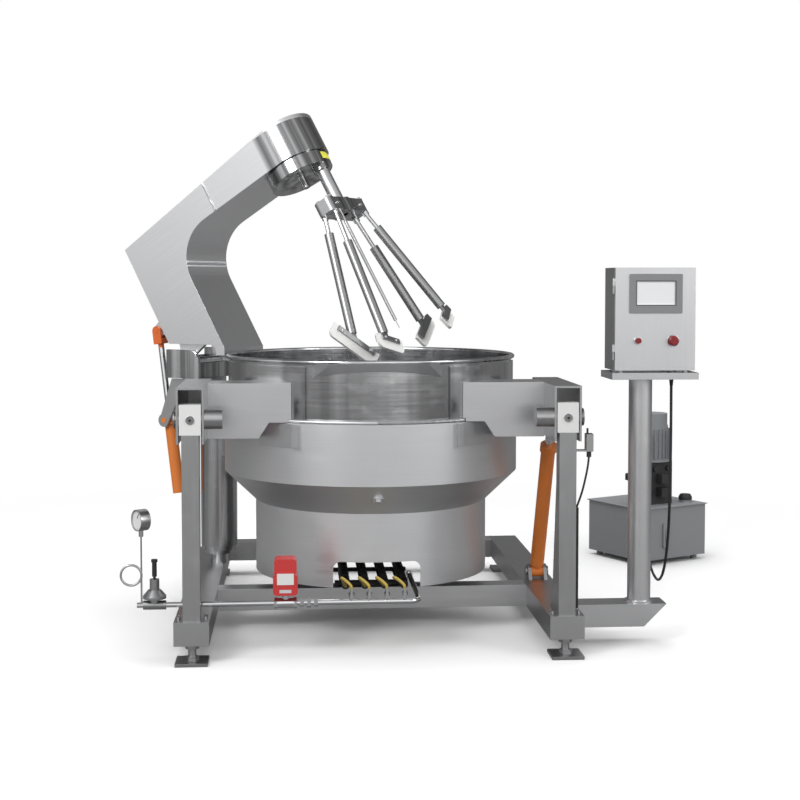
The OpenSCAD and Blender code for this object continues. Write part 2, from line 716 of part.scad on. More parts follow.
module lift_rod() {
  on_lift() {
    color(chrome) translate([0, 0, -150]) cylinder(r = lift_rod_r, h = lift_len + 150 - 30);
    color(chrome) translate([0, 0, -160]) cylinder(r = lift_barrel_r - 6 - fit, h = 20);
    color(red) {
      for (side = [-1, 1]) translate([0, side * 19, lift_len]) hull() {
        bar_y(22, 10);
        translate([0, 0, -36]) bar_y(22, 10);
      }
      translate([0, 0, lift_len - 58]) block(44, 48, 24);
      translate([0, 0, lift_len]) bar_y(lift_pin_r, 50);
    }
  }
}

/* Tilt cylinder */
tilt_len = norm([tilt_eye_y - tilt_base_y, tilt_eye_z - tilt_base_z]);
tilt_lean = atan2(tilt_eye_y - tilt_base_y, tilt_eye_z - tilt_base_z);
tilt_eye_r = 26;
tilt_pin_r = 14;
barrel_l = 590;
module on_tilt() {
  translate([side_x, -tilt_base_y, tilt_base_z]) rotate([tilt_lean, 0, 0]) children();
}
module tilt_base() {
  color(dark_steel) translate([side_x, -tilt_base_y, 0]) {
    for (side = [-1, 1]) translate([side * 32, 0, 0]) difference() {
      plate_yz(14) polygon(concat([[50, rail_top], [-50, rail_top]],
        [for (p = arc([0, tilt_base_z], 28, 160, 20, 12)) p]));
      translate([0, 0, tilt_base_z]) bar_x(tilt_pin_r + seat, 40);
    }
    translate([0, 0, tilt_base_z]) bar_x(tilt_pin_r, 86);
    for (side = [-1, 1]) translate([side * 45, 0, tilt_base_z]) bar_x(tilt_pin_r + 5, 5);
  }
}
module tilt_barrel() {
  color(orange) on_tilt() difference() {
    union() {
      bar_x(tilt_eye_r, 48);
      translate([0, 0, 40]) cylinder(r = tilt_barrel_r, h = barrel_l);
      translate([0, 0, 10]) cylinder(r = 20, h = 40);
      translate([0, 0, barrel_l + 10]) cylinder(r = tilt_barrel_r + 5, h = 30);
    }
    bar_x(tilt_pin_r + fit, 60);
    translate([0, 0, 60]) cylinder(r = tilt_barrel_r - 6, h = barrel_l - 50);
    translate([0, 0, barrel_l]) cylinder(r = tilt_rod_r + fit, h = 60);
  }
}
module tilt_rod() {
  color(chrome) on_tilt() {
    difference() {
      union() {
        translate([0, 0, 110]) cylinder(r = tilt_rod_r, h = tilt_len - 130);
        translate([0, 0, 100]) cylinder(r = tilt_barrel_r - 6 - fit, h = 26);
        translate([0, 0, tilt_len]) bar_x(tilt_eye_r, 40);
      }
      translate([0, 0, tilt_len]) bar_x(tilt_pin_r + seat, 60);
    }
    translate([0, 0, tilt_len]) bar_x(tilt_pin_r, 62);
  }
}

/* Base */
module tube_y(w, h, length) {
  difference() {
    block(w, length, h);
    translate([0, 0, tube_t]) block(w - 2 * tube_t, length + 2, h - 2 * tube_t);
  }
}
module tube_x(length, w, h) { rotate([0, 0, 90]) tube_y(w, h, length); }
module side_rails() {
  length = rail_front + rail_back;
  color(steel) both_sides() translate([side_x, (rail_back - rail_front) / 2, rail_z]) {
    tube_y(rail_w, rail_h, length - 2 * tube_t);
    for (end = [-1, 1]) translate([0, end * (length - tube_t) / 2, 0])
      block(rail_w, tube_t, rail_h);
  }
}
beam_front_y = 175;
module cross_beams() {
  inside = 2 * side_x - rail_w;
  color(steel) {
    translate([0, 45 - beam_front_y, rail_z]) tube_x(inside, 90, rail_h);
    translate([0, rail_back - 45, rail_z]) tube_x(inside, 90, rail_h);
  }
}
module posts() {
  color(steel) both_sides() translate([side_x, -trunnion_y, 0]) {
    difference() {
      translate([0, 0, rail_top]) block(post_w, post_w, block_bottom - rail_top);
      translate([0, 0, rail_top + 10]) block(post_w - 10, post_w - 10,
        block_bottom - rail_top - 22);
    }
    // The foot plate's four bolts
    for (x = [-1, 1], y = [-1, 1]) translate([x * 50, y * 18 + 20, rail_top])
      cylinder(r = 7, h = 12, $fn = 6);
  }
  post_stiffener();
}
// A tapered stiffener runs down the back of the post on the cylinder's side
module post_stiffener() {
  color(steel) translate([side_x - post_w / 2 + 5, -trunnion_y, 0]) plate_yz(10) polygon([
    [post_w / 2 - 1, rail_top], [post_w / 2 + 110, rail_top], [post_w / 2 + 70,
    rail_top + 60], [post_w / 2 - 1, rail_top + 500]]);
}
module bearing_blocks() {
  both_sides() translate([side_x, -trunnion_y, trunnion_z]) {
    color(white) difference() {
      translate([0, 0, -block_h / 2]) block(block_w, post_w, block_h);
      bar_x(trunnion_r + fit, 2 * block_w);
    }
    color(chrome) translate([0, -post_w / 2 - 1.5, 0]) bar_y(16, 3);
    color(black) translate([0, -post_w / 2 - 7, 0]) bar_y(5, 8);
  }
}
foot_hole = 45;
module levelling_feet() {
  color(dark_steel) both_sides() for (end = [-1, 1])
    translate([side_x, end < 0 ? -foot_front : foot_rear, 0]) {
      difference() {
        translate([-60, end < 0 ? -70 : -50, 0]) cube([120, 120, 12]);
        translate([0, end * foot_hole, -1]) cylinder(r = anchor_r, h = 20);
      }
      translate([0, 0, 12]) cylinder(r = 24, h = 12, $fn = 6);
      translate([0, 0, 24]) cylinder(r = 15, h = rail_z - 24);
      translate([0, 0, rail_z - 18]) cylinder(r = 26, h = 18, $fn = 6);
    }
}
column_x = 655;
column_y = 395;
module rest_column() {
  color(chrome) translate([-column_x, column_y, 0]) {
    translate([0, 0, rail_top]) cylinder(r = 39, h = 46);
    translate([0, 0, rail_top + 46]) cylinder(r = 62, h = 16);
    translate([0, 0, rail_top + 62]) cylinder(r = column_r - 10, h = 20);
    translate([0, 0, rail_top + 82]) ring(column_r, column_r - 5,
      beam_top - beam_h - rail_top - 82 - 9);
    translate([0, 0, beam_top - beam_h - 9]) cylinder(r = column_r, h = 8.5);
  }
}

/* Control cabinet */
stand_x = 1023;
stand_y = 500;
cab_front = 600;
tray_z = cab_z - 34;
module control_stand() {
  x0 = side_x + rail_w / 2;
  x1 = stand_x + stand_r + 52;
  color(steel) {
    translate([0, -stand_y, 0]) difference() {
      plate_xz(112) polygon([[x0, rail_z], [x1 - rail_h, rail_z], [x1, rail_top],
        [x0, rail_top]]);
      plate_xz(112 - 2 * tube_t) polygon([[x0 + tube_t, rail_z + tube_t],
        [x1 - rail_h - tube_t, rail_z + tube_t], [x1 - 3 * tube_t, rail_top - tube_t],
        [x0 + tube_t, rail_top - tube_t]]);
    }
    translate([stand_x, -stand_y, rail_top]) ring(stand_r, stand_r - 3,
      tray_z - rail_top);
    translate([stand_x, -stand_y, rail_top]) ring(stand_r + 10, stand_r, 8);
    // The tray under the cabinet has a turned-up lip on three sides
    translate([cab_x, -cab_front + cab_d / 2, tray_z]) difference() {
      block(cab_w + 24, cab_d + 24, 26);
      translate([0, 0, 3]) block(cab_w + 18, cab_d + 18, 30);
      translate([gland_x, cab_d / 2 - 60, -1]) cylinder(r = 14, h = 10);
    }
    for (x = [-1, 1], y = [-1, 1]) translate([cab_x + x * (cab_w / 2 - 30),
      -cab_front + cab_d / 2 + y * (cab_d / 2 - 30), tray_z + 3])
      cylinder(r = 10, h = cab_z - tray_z - 3);
  }
}
sheet = 2;
module at_cabinet() { translate([cab_x, -cab_front, cab_z]) children(); }
door_t = 20;
module cabinet_shell() {
  color(steel) at_cabinet() {
    difference() {
      translate([-cab_w / 2, door_t, 0]) cube([cab_w, cab_d - door_t, cab_h]);
      translate([sheet - cab_w / 2, door_t - 1, sheet]) cube([cab_w - 2 * sheet,
        cab_d - door_t - sheet + 1, cab_h - 2 * sheet]);
      translate([gland_x, cab_d - 60, -1]) cylinder(r = 8, h = 10);
    }
    // The turned-in rim round the door's opening
    difference() {
      translate([sheet - cab_w / 2, door_t, sheet]) cube([cab_w - 2 * sheet, sheet,
        cab_h - 2 * sheet]);
      translate([20 - cab_w / 2, door_t - 1, 20]) cube([cab_w - 40, sheet + 2, cab_h - 40]);
    }
  }
  // The back plate with a contactor and a row of terminals
  color(white) at_cabinet() {
    translate([30 - cab_w / 2, cab_d - 14, 30]) cube([cab_w - 60, 12, cab_h - 60]);
    translate([-90, cab_d - 84, 200]) cube([60, 70, 80]);
    translate([10, cab_d - 74, 210]) cube([90, 60, 70]);
    translate([-90, cab_d - 44, 90]) cube([180, 30, 46]);
  }
  color(black) at_cabinet() translate([gland_x, cab_d - 60, -22]) ring(13, cable_r + 0.3, 22);
  // The hinges' fixed halves: a leaf on the side, a knuckle and its pin
  color(dark_steel) for (z = hinge_heights) at_hinge(z) {
    translate([0, 0, -30]) cylinder(r = 5, h = 29);
    cylinder(r = 3, h = 28, center = false);
    translate([0, 0, -1.5]) cylinder(r = 3, h = 3);
    translate([0, 0, -30]) cube([4.8, door_t + 16, 29]);
    translate([0, door_t - hinge_y, -30]) cube([6, 16, 29]);
  }
}
hinge_heights = [70, cab_h - 70];
hinge_y = 8;
module at_hinge(z) { at_cabinet() translate([-cab_w / 2 - 5, hinge_y, z]) children(); }
module cabinet_door() {
  t = sheet;
  // The hinges' turning halves
  color(dark_steel) for (z = hinge_heights) at_hinge(z) difference() {
    union() {
      cylinder(r = 5, h = 29);
      translate([0, -4, 0]) cube([6, 8, 29]);
    }
    translate([0, 0, -1]) cylinder(r = 3 + fit, h = 40);
  }
  color(steel) at_cabinet() difference() {
    translate([-cab_w / 2, 0, 0]) cube([cab_w, door_t - 1, cab_h]);
    translate([t - cab_w / 2, t, t]) cube([cab_w - 2 * t, door_t, cab_h - 2 * t]);
    translate([panel_x - 93, -1, panel_z - 66]) cube([186, 10, 132]);
    for (x = [start_x, stop_x]) translate([x, 0, button_z]) bar_y(11 + seat, 20);
  }
  color(black) at_cabinet() for (x = [start_x, stop_x]) translate([x, 0, button_z]) {
    translate([0, -1.5, 0]) rotate([90, 0, 0]) ring(x == stop_x ? 15 : 14, 8, 3);
    translate([0, 8, 0]) rotate([90, 0, 0]) ring(11, 8, 9.5);
    translate([0, 14, 0]) rotate([90, 0, 0]) ring(14, 8, 10);
  }
}
panel_x = 1;
panel_z = 293;
start_x = -67;
stop_x = 69;
button_z = 114;
module touch_panel() {
  at_cabinet() translate([panel_x, 0, panel_z]) {
    color(dark_steel) difference() {
      union() {
        translate([0, -3, 0]) plate_xz(6) round_rect(204, 150, 5);
        translate([0, 5, 0]) plate_xz(10) square([184, 130], center = true);
      }
      translate([0, -8, 2]) plate_xz(12) square([149, 88], center = true);
    }
    color(white) translate([0, -1.2, 2]) plate_xz(2) square([148, 87], center = true);
  }
}
module emergency_stop() {
  color(red) at_cabinet() translate([stop_x, 0, button_z]) {
    translate([0, -15, 0]) rotate([90, 0, 0]) cylinder(r1 = stop_r, r2 = stop_r - 5, h = 9);
    translate([0, -10, 0]) rotate([90, 0, 0]) cylinder(r = stop_r, h = 5);
    translate([0, 5, 0]) rotate([90, 0, 0]) cylinder(r = 8 - fit, h = 16);
  }
}
module start_button() {
  color(red) at_cabinet() translate([start_x, 0, button_z]) {
    translate([0, -9.5, 0]) rotate([90, 0, 0]) cylinder(r = 11, h = 4);
    translate([0, 5, 0]) rotate([90, 0, 0]) cylinder(r = 8 - fit, h = 15);
  }
}

/* Gas train */
pipe_left = 905;
pipe_right = 1.5 * burner_pitch + 35;
tap_x0 = -105;
regulator_x = 840;
actuator_x = 353;
module gas_pipe() {
  bend = 40;
  color(chrome) {
    translate([0, -pipe_y, pipe_z]) {
      difference() {
        translate([(pipe_right - bend - pipe_left) / 2, 0, 0]) bar_x(pipe_r,
          pipe_right - bend + pipe_left);
        translate([-pipe_left, 0, 0]) bar_x(pipe_r - 2.5, 60);
      }
      translate([pipe_right - bend, bend, 0]) rotate([0, 0, -90])
        rotate_extrude(angle = 90) translate([bend, 0]) circle(pipe_r, $fn = 32);
      translate([pipe_right, (pipe_y - beam_front_y) / 2 + 40, 0]) bar_y(pipe_r,
        pipe_y - beam_front_y);
      translate([pipe_right, pipe_y - beam_front_y + 46, 0]) bar_y(pipe_r + 3, 20);
      // The shut-off valve's body and its union
      translate([-actuator_x, 0, 0]) bar_x(19, 70);
      for (x = [-1, 1]) translate([x * 36 - actuator_x, 0, 0]) rotate([0, 90, 0])
        cylinder(r = 21, h = 12, center = true, $fn = 6);
      translate([-actuator_x, 0, 0]) cylinder(r = 12, h = 36);
      for (x = [0, 26, 52]) translate([62 + x - actuator_x, 0, 0]) rotate([0, 90, 0])
        cylinder(r = x == 26 ? 19 : 15, h = 14, center = true, $fn = 6);
    }
    // The clip on the post and the saddle on the cross beam
    translate([-side_x, 0, pipe_z - 12]) translate([-12, -trunnion_y + post_w / 2, 0])
      cube([24, trunnion_y - post_w / 2 - pipe_y - pipe_r + 4, 24]);
    translate([pipe_right - 12, -beam_front_y, rail_top]) cube([24, 20,
      pipe_z - rail_top - pipe_r + 3]);
  }
}
module gas_regulator() {
  color(dark_steel) translate([-regulator_x, -pipe_y, pipe_z]) {
    difference() {
      union() {
        bar_x(17, 84);
        cylinder(r = 16, h = 30);
        translate([0, 0, 26]) cylinder(r = 43, h = 10);
        translate([0, 0, 36]) cylinder(r1 = 43, r2 = 24, h = 22);
        translate([0, 0, 36]) cylinder(r = 18, h = 62);
      }
      bar_x(pipe_r + seat, 120);
      translate([0, 0, 90]) cylinder(r = 5 + fit, h = 40);
    }
  }
}
module regulator_knob() {
  color(black) translate([-regulator_x, -pipe_y, pipe_z + 98]) {
    translate([0, 0, -7]) cylinder(r = 5, h = 40);
    translate([0, 0, 10]) cylinder(r = 9, h = 62);
    translate([0, 0, 64]) cylinder(r = 12, h = 10);
  }
}
gauge_x = 888;
gauge_z = 520;
gauge_r = 40;
gauge_turn = 55;
module pressure_gauge() {
  loop_r = 38;
  color(chrome) translate([-gauge_x, -pipe_y, 0]) {
    difference() {
      translate([0, 0, pipe_z]) cylinder(r = 3.5, h = gauge_z - pipe_z - gauge_r + 2);
      translate([0, 0, pipe_z]) bar_x(pipe_r + seat, 40);
    }
    // The siphon loop keeps shocks in the gas off the gauge
    translate([-loop_r, 0, pipe_z + 113]) rotate([90, 0, 0])
      rotate_extrude($fn = 64) translate([loop_r, 0]) circle(4.5, $fn = 16);
    translate([0, 0, gauge_z - 62]) cylinder(r = 9, h = 24, $fn = 6);
  }
  translate([-gauge_x, -pipe_y, gauge_z]) rotate([0, 0, -gauge_turn]) {
    color(dark_steel) difference() {
      bar_y(gauge_r, 40);
      translate([0, -17, 0]) bar_y(gauge_r - 3, 10);
    }
    color(white) translate([0, -13, 0]) bar_y(gauge_r - 3 - seat, 2);
    color(black) translate([0, -15, 8]) rotate([0, 30, 0]) block(2, 2, 20);
  }
}
module shutoff_actuator() {
  color(red) translate([-actuator_x, -pipe_y, pipe_z + 36]) {
    translate([0, 0, 40]) plate_xz(84) round_rect(92, 80, 14);
    translate([0, 0, 108]) plate_xz(76) round_rect(84, 56, 14);
  }
  color(white) translate([-actuator_x, -pipe_y - 42.6, pipe_z + 98]) plate_xz(1)
    square([66, 46], center = true);
  color(red) translate([-actuator_x, -pipe_y - 40.2, pipe_z + 98]) plate_xz(4)
    square([72, 52], center = true);
}
burner_l = 560;
burner_x0 = -1.5 * burner_pitch;
burner_z = 196;
hose_end = burner_l / 2 + 25.6;
module burners() {
  color(black) {
    for (i = [0:3]) translate([burner_x0 + i * burner_pitch, 0, burner_z]) {
      // Each bar burner is a cast tube with a raised row of ports
      translate([0, 40, 0]) bar_y(20, burner_l);
      for (y = [-220:30:290]) translate([0, y, 0]) block(26, 12, 26);
      translate([0, -burner_l / 2 + 30, 0]) bar_y(13, 60);
      translate([0, -burner_l / 2 - 10, 0]) bar_y(17, 30);
    }
    // Two bars carry the burners, and two runners carry the bars on the cross beam
    for (y = [-130, 130]) translate([0, y, rail_top + 6]) block(4 * burner_pitch, 36,
      burner_z - 20 - seat - rail_top - 6);
    for (x = [-1, 1]) translate([x * 1.5 * burner_pitch, -10, rail_top]) block(36, 320, 6);
  }
}
tap_z = pipe_z + pipe_r;
function tap_x(i) = tap_x0 + i * tap_pitch;
module burner_taps() {
  color(chrome) for (i = [0:3]) translate([tap_x(i), -pipe_y, tap_z]) {
    difference() {
      translate([0, 0, -5]) cylinder(r = 7, h = 30);
      translate([0, 0, -pipe_r]) bar_x(pipe_r + seat, 40);
    }
    translate([0, 0, 12]) cylinder(r = 11, h = 14, $fn = 6);
    translate([0, 0, 26]) cylinder(r = 5, h = 12);
    translate([0, -8, 19]) bar_y(6, 14);
  }
}
module tap_lever(i) {
  color(chrome) translate([tap_x(i), -pipe_y - 15.3, tap_z + 19]) {
    translate([0, -3, 0]) bar_y(7, 6);
    translate([-4, -6, -2]) cube([8, 4, 26]);
  }
}
module tap_lever_a() { tap_lever(0); }
module tap_lever_b() { tap_lever(1); }
module tap_lever_c() { tap_lever(2); }
module tap_lever_d() { tap_lever(3); }
// The hoses leave the taps upwards, swing to the left and run back to the burners
module gas_hoses() {
  color(yellow) for (i = [0:3]) let (x = tap_x(i), b = burner_x0 + i * burner_pitch)
    hose(smooth([[x, -pipe_y, tap_z + 38.6], [x - 3, 1 - pipe_y, tap_z + 52],
      [x - 20, 16 - pipe_y, tap_z + 66], [x - 34, 50 - pipe_y, tap_z + 70],
      [x - 34, 100 - pipe_y, tap_z + 58], [(x + b) / 2 - 20, 180 - pipe_y, burner_z + 44],
      [b - 6, -64.4 - hose_end, burner_z + 12], [b, -24.4 - hose_end, burner_z + 1],
      [b, -hose_end, burner_z]], 3), hose_r, [1, 0.3, 0]);
}

/* Oil pump */
tank_x = 1480;
tank_y = 1200;
tank_z = 25;
tank_top = tank_z + tank_h;
module at_pump() { translate([tank_x, tank_y, 0]) rotate([0, 0, tank_turn]) children(); }
module oil_tank() {
  w = tank_w;
  color(dark_steel) at_pump() {
    translate([0, 0, tank_z]) difference() {
      block(w, w, tank_h - 4);
      translate([0, 0, 4]) block(w - 8, w - 8, tank_h);
    }
    translate([0, 0, tank_top - 4]) difference() {
      block(w + 16, w + 16, 4);
      translate([filler_x, filler_y, -1]) cylinder(r = 22, h = 10);
    }
    translate([filler_x, filler_y, tank_top]) ring(30, 22, 12);
    for (x = [-1, 1], y = [-1, 1]) translate([x * (w / 2 - 40), y * (w / 2 - 40), 0])
      cylinder(r = 16, h = tank_z);
  }
  // The sight glass stands on the tank's front left corner
  color(chrome) at_pump() translate([-60, -w / 2, 0]) {
    translate([0, -5, tank_z + 60]) plate_xz(10) translate([0, 60]) round_rect(46, 130, 16);
    translate([0, -12, tank_z + 70]) plate_xz(4) translate([0, 50]) round_rect(20, 80, 9);
  }
}
filler_x = 145;
filler_y = -128;
module filler_cap() {
  color(black) at_pump() translate([filler_x, filler_y, tank_top + 12 + 0.3]) {
    ring(34, 6, 14);
    translate([0, 0, 14]) cylinder(r1 = 34, r2 = 26, h = 14);
    translate([0, 0, -16]) ring(21.8, 16, 17);
  }
}
pump_x = -10;
pump_y = -40;
block_top = tank_top + 214;
module pump_motor() {
  color(dark_steel) at_pump() translate([pump_x, pump_y, block_top]) {
    cylinder(r = motor_r, h = 12);
    translate([0, 0, 12]) cylinder(r = motor_r - 14, h = 170);
    for (k = [0:23]) rotate([0, 0, 15 * k]) translate([motor_r - 16, -2, 16])
      cube([12, 4, 150]);
    translate([0, 0, 182]) cylinder(r = motor_r - 18, h = 60);
    rotate([0, 0, -152.4]) translate([motor_r + 2, 0, 70]) block(60, 60, 80);
  }
}
module valve_block() {
  color(black) at_pump() {
    translate([pump_x, pump_y, tank_top]) block(150, 150, block_top - tank_top);
    for (z = [40, 110]) translate([pump_x, pump_y - 95, tank_top + z]) block(60, 42, 46);
    for (x = [-1, 1]) translate([pump_x + x * 42, pump_y - 80, tank_top + 180])
      bar_y(13, 14);
    // The suction filter with its ribbed cap
    translate([-148, -92, tank_top]) {
      cylinder(r = 46, h = 130);
      translate([0, 0, 130]) cylinder(r = 56, h = 30);
      for (k = [0:11]) rotate([0, 0, 30 * k]) translate([55, -5, 130]) cube([5, 10, 30]);
    }
  }
}

/* Cable. Its route is a list of points, from the cabinet's gland to the motor */
gland_x = 96;
cable_r = 5.5;
cable_route = [[1150, -480, 1045], [1150, -480, 980], [1151, -478, 800], [1153, -466, 620],
  [1158, -436, 470], [1168, -370, 335], [1184, -260, 225], [1208, -100, 155],
  [1240, 100, 128], [1276, 320, 135], [1312, 540, 182], [1344, 735, 270], [1377, 860, 370],
  [1405, 955, 462], [1423, 1020, 518], [1432, 1065, 545], [1433.5, 1077.5, 556],
  [1433.5, 1077.5, 568]];
module control_cable() {
  color(black) hose(smooth(cable_route, 3), cable_r, [1, 0.2, 0.1]);
}

module limit_switch() {
  x = side_x + channel_w / 2 + 34;
  color(dark_steel) {
    translate([x, -trunnion_y, channel_bottom - 40]) block(26, 40, 66);
    translate([side_x + post_w / 2, -trunnion_y - 15, channel_bottom - 40])
      cube([x - side_x - post_w / 2, 30, 6]);
    translate([x - 6, -trunnion_y, channel_bottom + 26]) cylinder(r = 4, h = 20);
  }
  color(black) {
    translate([x, -trunnion_y, channel_bottom - 62]) cylinder(r = 9, h = 22);
    hose(smooth([[x, -trunnion_y, channel_bottom - 62], [x - 6, -trunnion_y,
      channel_bottom - 110], [x - 24, -trunnion_y, channel_bottom - 190],
      [side_x + post_w / 2 + 7.4, -trunnion_y, 560]], 3), 4, [0, 1, 0]);
    translate([side_x + post_w / 2 + 7.4, -trunnion_y, 180]) block(14, 14, 380);
  }
}

at_feet() side_rails();
at_feet() cross_beams();
at_feet() posts();
at_feet() bearing_blocks();
at_feet() levelling_feet();
at_feet() rest_column();
at_feet() control_stand();
at_feet() cabinet_shell();
at_feet() cabinet_door();
at_feet() touch_panel();
at_feet() emergency_stop();
at_feet() start_button();
at_feet() tilt_base();
at_feet() tilt_barrel();
at_feet() tilt_rod();
at_feet() side_channels();
at_feet() rear_beam();
at_feet() pot_ears();
at_feet() ear_saddles();
at_feet() trunnion_shafts();
at_feet() bowl();
at_feet() jacket();
at_feet() pouring_lip();
at_feet() arm_pedestal();
at_feet() swan_arm();
at_feet() arm_shaft();
at_feet() head_motor();
at_feet() sun_gear();
at_feet() head_drum();
at_feet() tool_shaft();
at_feet() tool_hub();
at_feet() leg_rods();
at_feet() leg_sleeve_a();
at_feet() leg_sleeve_b();
at_feet() leg_sleeve_c();
at_feet() leg_sleeve_d();
at_feet() scraper_a();
at_feet() scraper_b();
at_feet() scraper_c();
at_feet() scraper_d();
at_feet() lift_barrel();
at_feet() lift_rod();
at_feet() gas_pipe();
at_feet() gas_regulator();
at_feet() regulator_knob();
at_feet() pressure_gauge();
at_feet() shutoff_actuator();
at_feet() burners();
at_feet() burner_taps();
at_feet() tap_lever_a();
at_feet() tap_lever_b();
at_feet() tap_lever_c();
at_feet() tap_lever_d();
at_feet() gas_hoses();
at_feet() oil_tank();
at_feet() filler_cap();
at_feet() pump_motor();
at_feet() valve_block();
at_feet() control_cable();
at_feet() limit_switch();
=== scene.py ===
# %% [markdown]
# # A tilting planetary cooking mixer
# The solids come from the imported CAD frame. This lesson dresses them: brushed and polished
# steel, paint, plastic and rubber, the cable and the hoses, welds, screws and dials.
# The frame is loaded first, because every piece takes its place from it.

import math

import bmesh
import bpy
import numpy as np
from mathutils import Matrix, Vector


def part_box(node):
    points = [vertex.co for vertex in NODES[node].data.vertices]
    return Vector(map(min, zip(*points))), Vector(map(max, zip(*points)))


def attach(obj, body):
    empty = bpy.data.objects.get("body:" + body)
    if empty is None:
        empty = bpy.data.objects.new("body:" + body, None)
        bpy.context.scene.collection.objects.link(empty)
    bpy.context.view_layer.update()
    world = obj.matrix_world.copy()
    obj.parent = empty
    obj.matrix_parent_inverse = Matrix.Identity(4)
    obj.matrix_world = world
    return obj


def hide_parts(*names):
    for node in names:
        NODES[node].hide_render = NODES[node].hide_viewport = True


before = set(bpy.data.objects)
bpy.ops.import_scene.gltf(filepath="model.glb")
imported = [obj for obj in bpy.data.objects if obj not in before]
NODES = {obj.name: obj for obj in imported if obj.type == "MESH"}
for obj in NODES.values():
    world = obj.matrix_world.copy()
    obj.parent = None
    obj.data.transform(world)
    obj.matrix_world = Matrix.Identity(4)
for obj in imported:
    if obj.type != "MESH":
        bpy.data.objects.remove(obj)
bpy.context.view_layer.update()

# %% [markdown]
# The pot's axis is the natural centre of the machine, but the frame's origin lies between
# the anchor holes. `from_pot` turns a drawing measure in millimetres from the pot's axis
# into the frame's metres. The axis is read from the bowl's own box, so it follows the CAD.

# %% The pot's axis
pot_low, pot_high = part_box("bowl")
POT_Y = (pot_low.y + pot_high.y) / 2


def from_pot(points):
    """Millimetres from the pot's axis on the floor, as the frame's metres."""
    return np.asarray(points, float) / 1000 + (0, POT_Y, 0)


print("pot axis at y =", round(POT_Y, 4), "rim at z =", round(pot_high.z, 4))

# %% [markdown]
# The arm is drawn lowered and pointing along x, and stands raised by 30 degrees and turned
# by 32. `on_arm` takes a place in the arm's own measures to where it is in the frame, so
# that the welds and the head's parts can be placed as on the drawing.

# %% Places on the raised arm
ARM_TURN, ARM_RAISE = math.radians(32), math.radians(30)
ARM_PIVOT = (-830.0, 1051.0)  # along the arm's plane, and above the floor
HEAD_X, DRUM_R = 830, 140


def on_arm(points):
    """(along, across, up) of the lowered arm in mm, raised about its pivot, in metres."""
    x, y, z = np.asarray(points, float).T
    s = ARM_PIVOT[0] + x * math.cos(ARM_RAISE) - z * math.sin(ARM_RAISE)
    up = ARM_PIVOT[1] + x * math.sin(ARM_RAISE) + z * math.cos(ARM_RAISE)
    return from_pot(np.column_stack([s * math.cos(ARM_TURN) + y * math.sin(ARM_TURN),
                                     -s * math.sin(ARM_TURN) + y * math.cos(ARM_TURN), up]))


print("head's axis at", on_arm([(HEAD_X, 0, 465)]).round(3).tolist())

# %% [markdown]
# The photographer stood a little left of the pot, almost six metres away and at chest
# height. A long lens from there keeps the uprights straight. The place and the lens were
# worked out from the vanishing lines of the rails and the width of the pot's rim.

# %% Camera
LOOK_RIGHT = 0.07253  # radians from straight ahead
LOOK_DOWN = 0.05163
camera_data = bpy.data.cameras.new("camera")
camera_data.lens = 63.51
camera_data.sensor_width = 36
camera_data.shift_y = -0.0545
camera_data.clip_end = 80
camera = bpy.data.objects.new("camera", camera_data)
camera.location = (-0.3046, -5.9909, 1.3986)
camera.rotation_euler = (math.pi / 2 - LOOK_DOWN, 0, -LOOK_RIGHT)
bpy.context.scene.collection.objects.link(camera)
bpy.context.scene.camera = camera
bpy.context.scene.view_settings.view_transform = "Standard"
print("camera", [round(v, 3) for v in camera.location], "lens", camera_data.lens)

# %% [markdown]
# ## Surfaces from rings
# Cables, screws, beads and plates are all one idea: a closed outline carried along a line,
# which skins the space between its rings. `skin` does it with whole numpy arrays, so that
# each new shape only has to say where its rings are.

# %% Skin rings, and put a piece in the scene
def skin(rings):
    """Points and faces of rings[m][n]: each ring's points join the next ring's, and the
    first and last ring are closed by one face each."""
    rings = np.asarray(rings, float)
    m, n, _ = rings.shape
    at = np.arange(m * n).reshape(m, n)
    right = np.roll(at, -1, axis=1)
    sides = np.stack([at[:-1], right[:-1], right[1:], at[1:]], axis=-1).reshape(-1, 4)
    return rings.reshape(-1, 3), sides.tolist() + [at[0, ::-1].tolist(), at[-1].tolist()]


SHARP_DEGREES = 35  # a fold beyond this stays a sharp edge


def piece(name, solids, material, body):
    """Joins solids into one mesh object with outward faces, that rides on a body."""
    points, faces, first = [], [], 0
    for solid_points, solid_faces in solids:
        points.append(solid_points)
        faces += [[first + i for i in face] for face in solid_faces]
        first += len(solid_points)
    mesh = bpy.data.meshes.new(name)
    mesh.from_pydata(np.vstack(points).tolist(), [], faces)
    work = bmesh.new()
    work.from_mesh(mesh)
    bmesh.ops.recalc_face_normals(work, faces=work.faces)
    work.to_mesh(mesh)
    work.free()
    mesh.shade_smooth()
    mesh.set_sharp_from_angle(angle=math.radians(SHARP_DEGREES))
    mesh.materials.append(material)
    made = bpy.data.objects.new(name, mesh)
    bpy.context.scene.collection.objects.link(made)
    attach(made, body)
    print(name, len(mesh.polygons), "faces on", body)
    return made


# %% [markdown]
# A ring needs two directions across its axis. A turned shape is rings round a straight
# axis, as on a lathe, and a tube is rings along a route. The route's own directions come
# from one fixed side vector, which keeps the tube from twisting.

# %% Turned shapes and tubes
def across(axis, side=(0.31, 0.17, 0.93)):
    """Two unit vectors at right angles to each axis, from its cross product with side."""
    axis = np.asarray(axis, float)
    first = np.cross(axis, side)
    first /= np.linalg.norm(first, axis=-1, keepdims=True)
    second = np.cross(axis, first)
    return first, second / np.linalg.norm(second, axis=-1, keepdims=True)


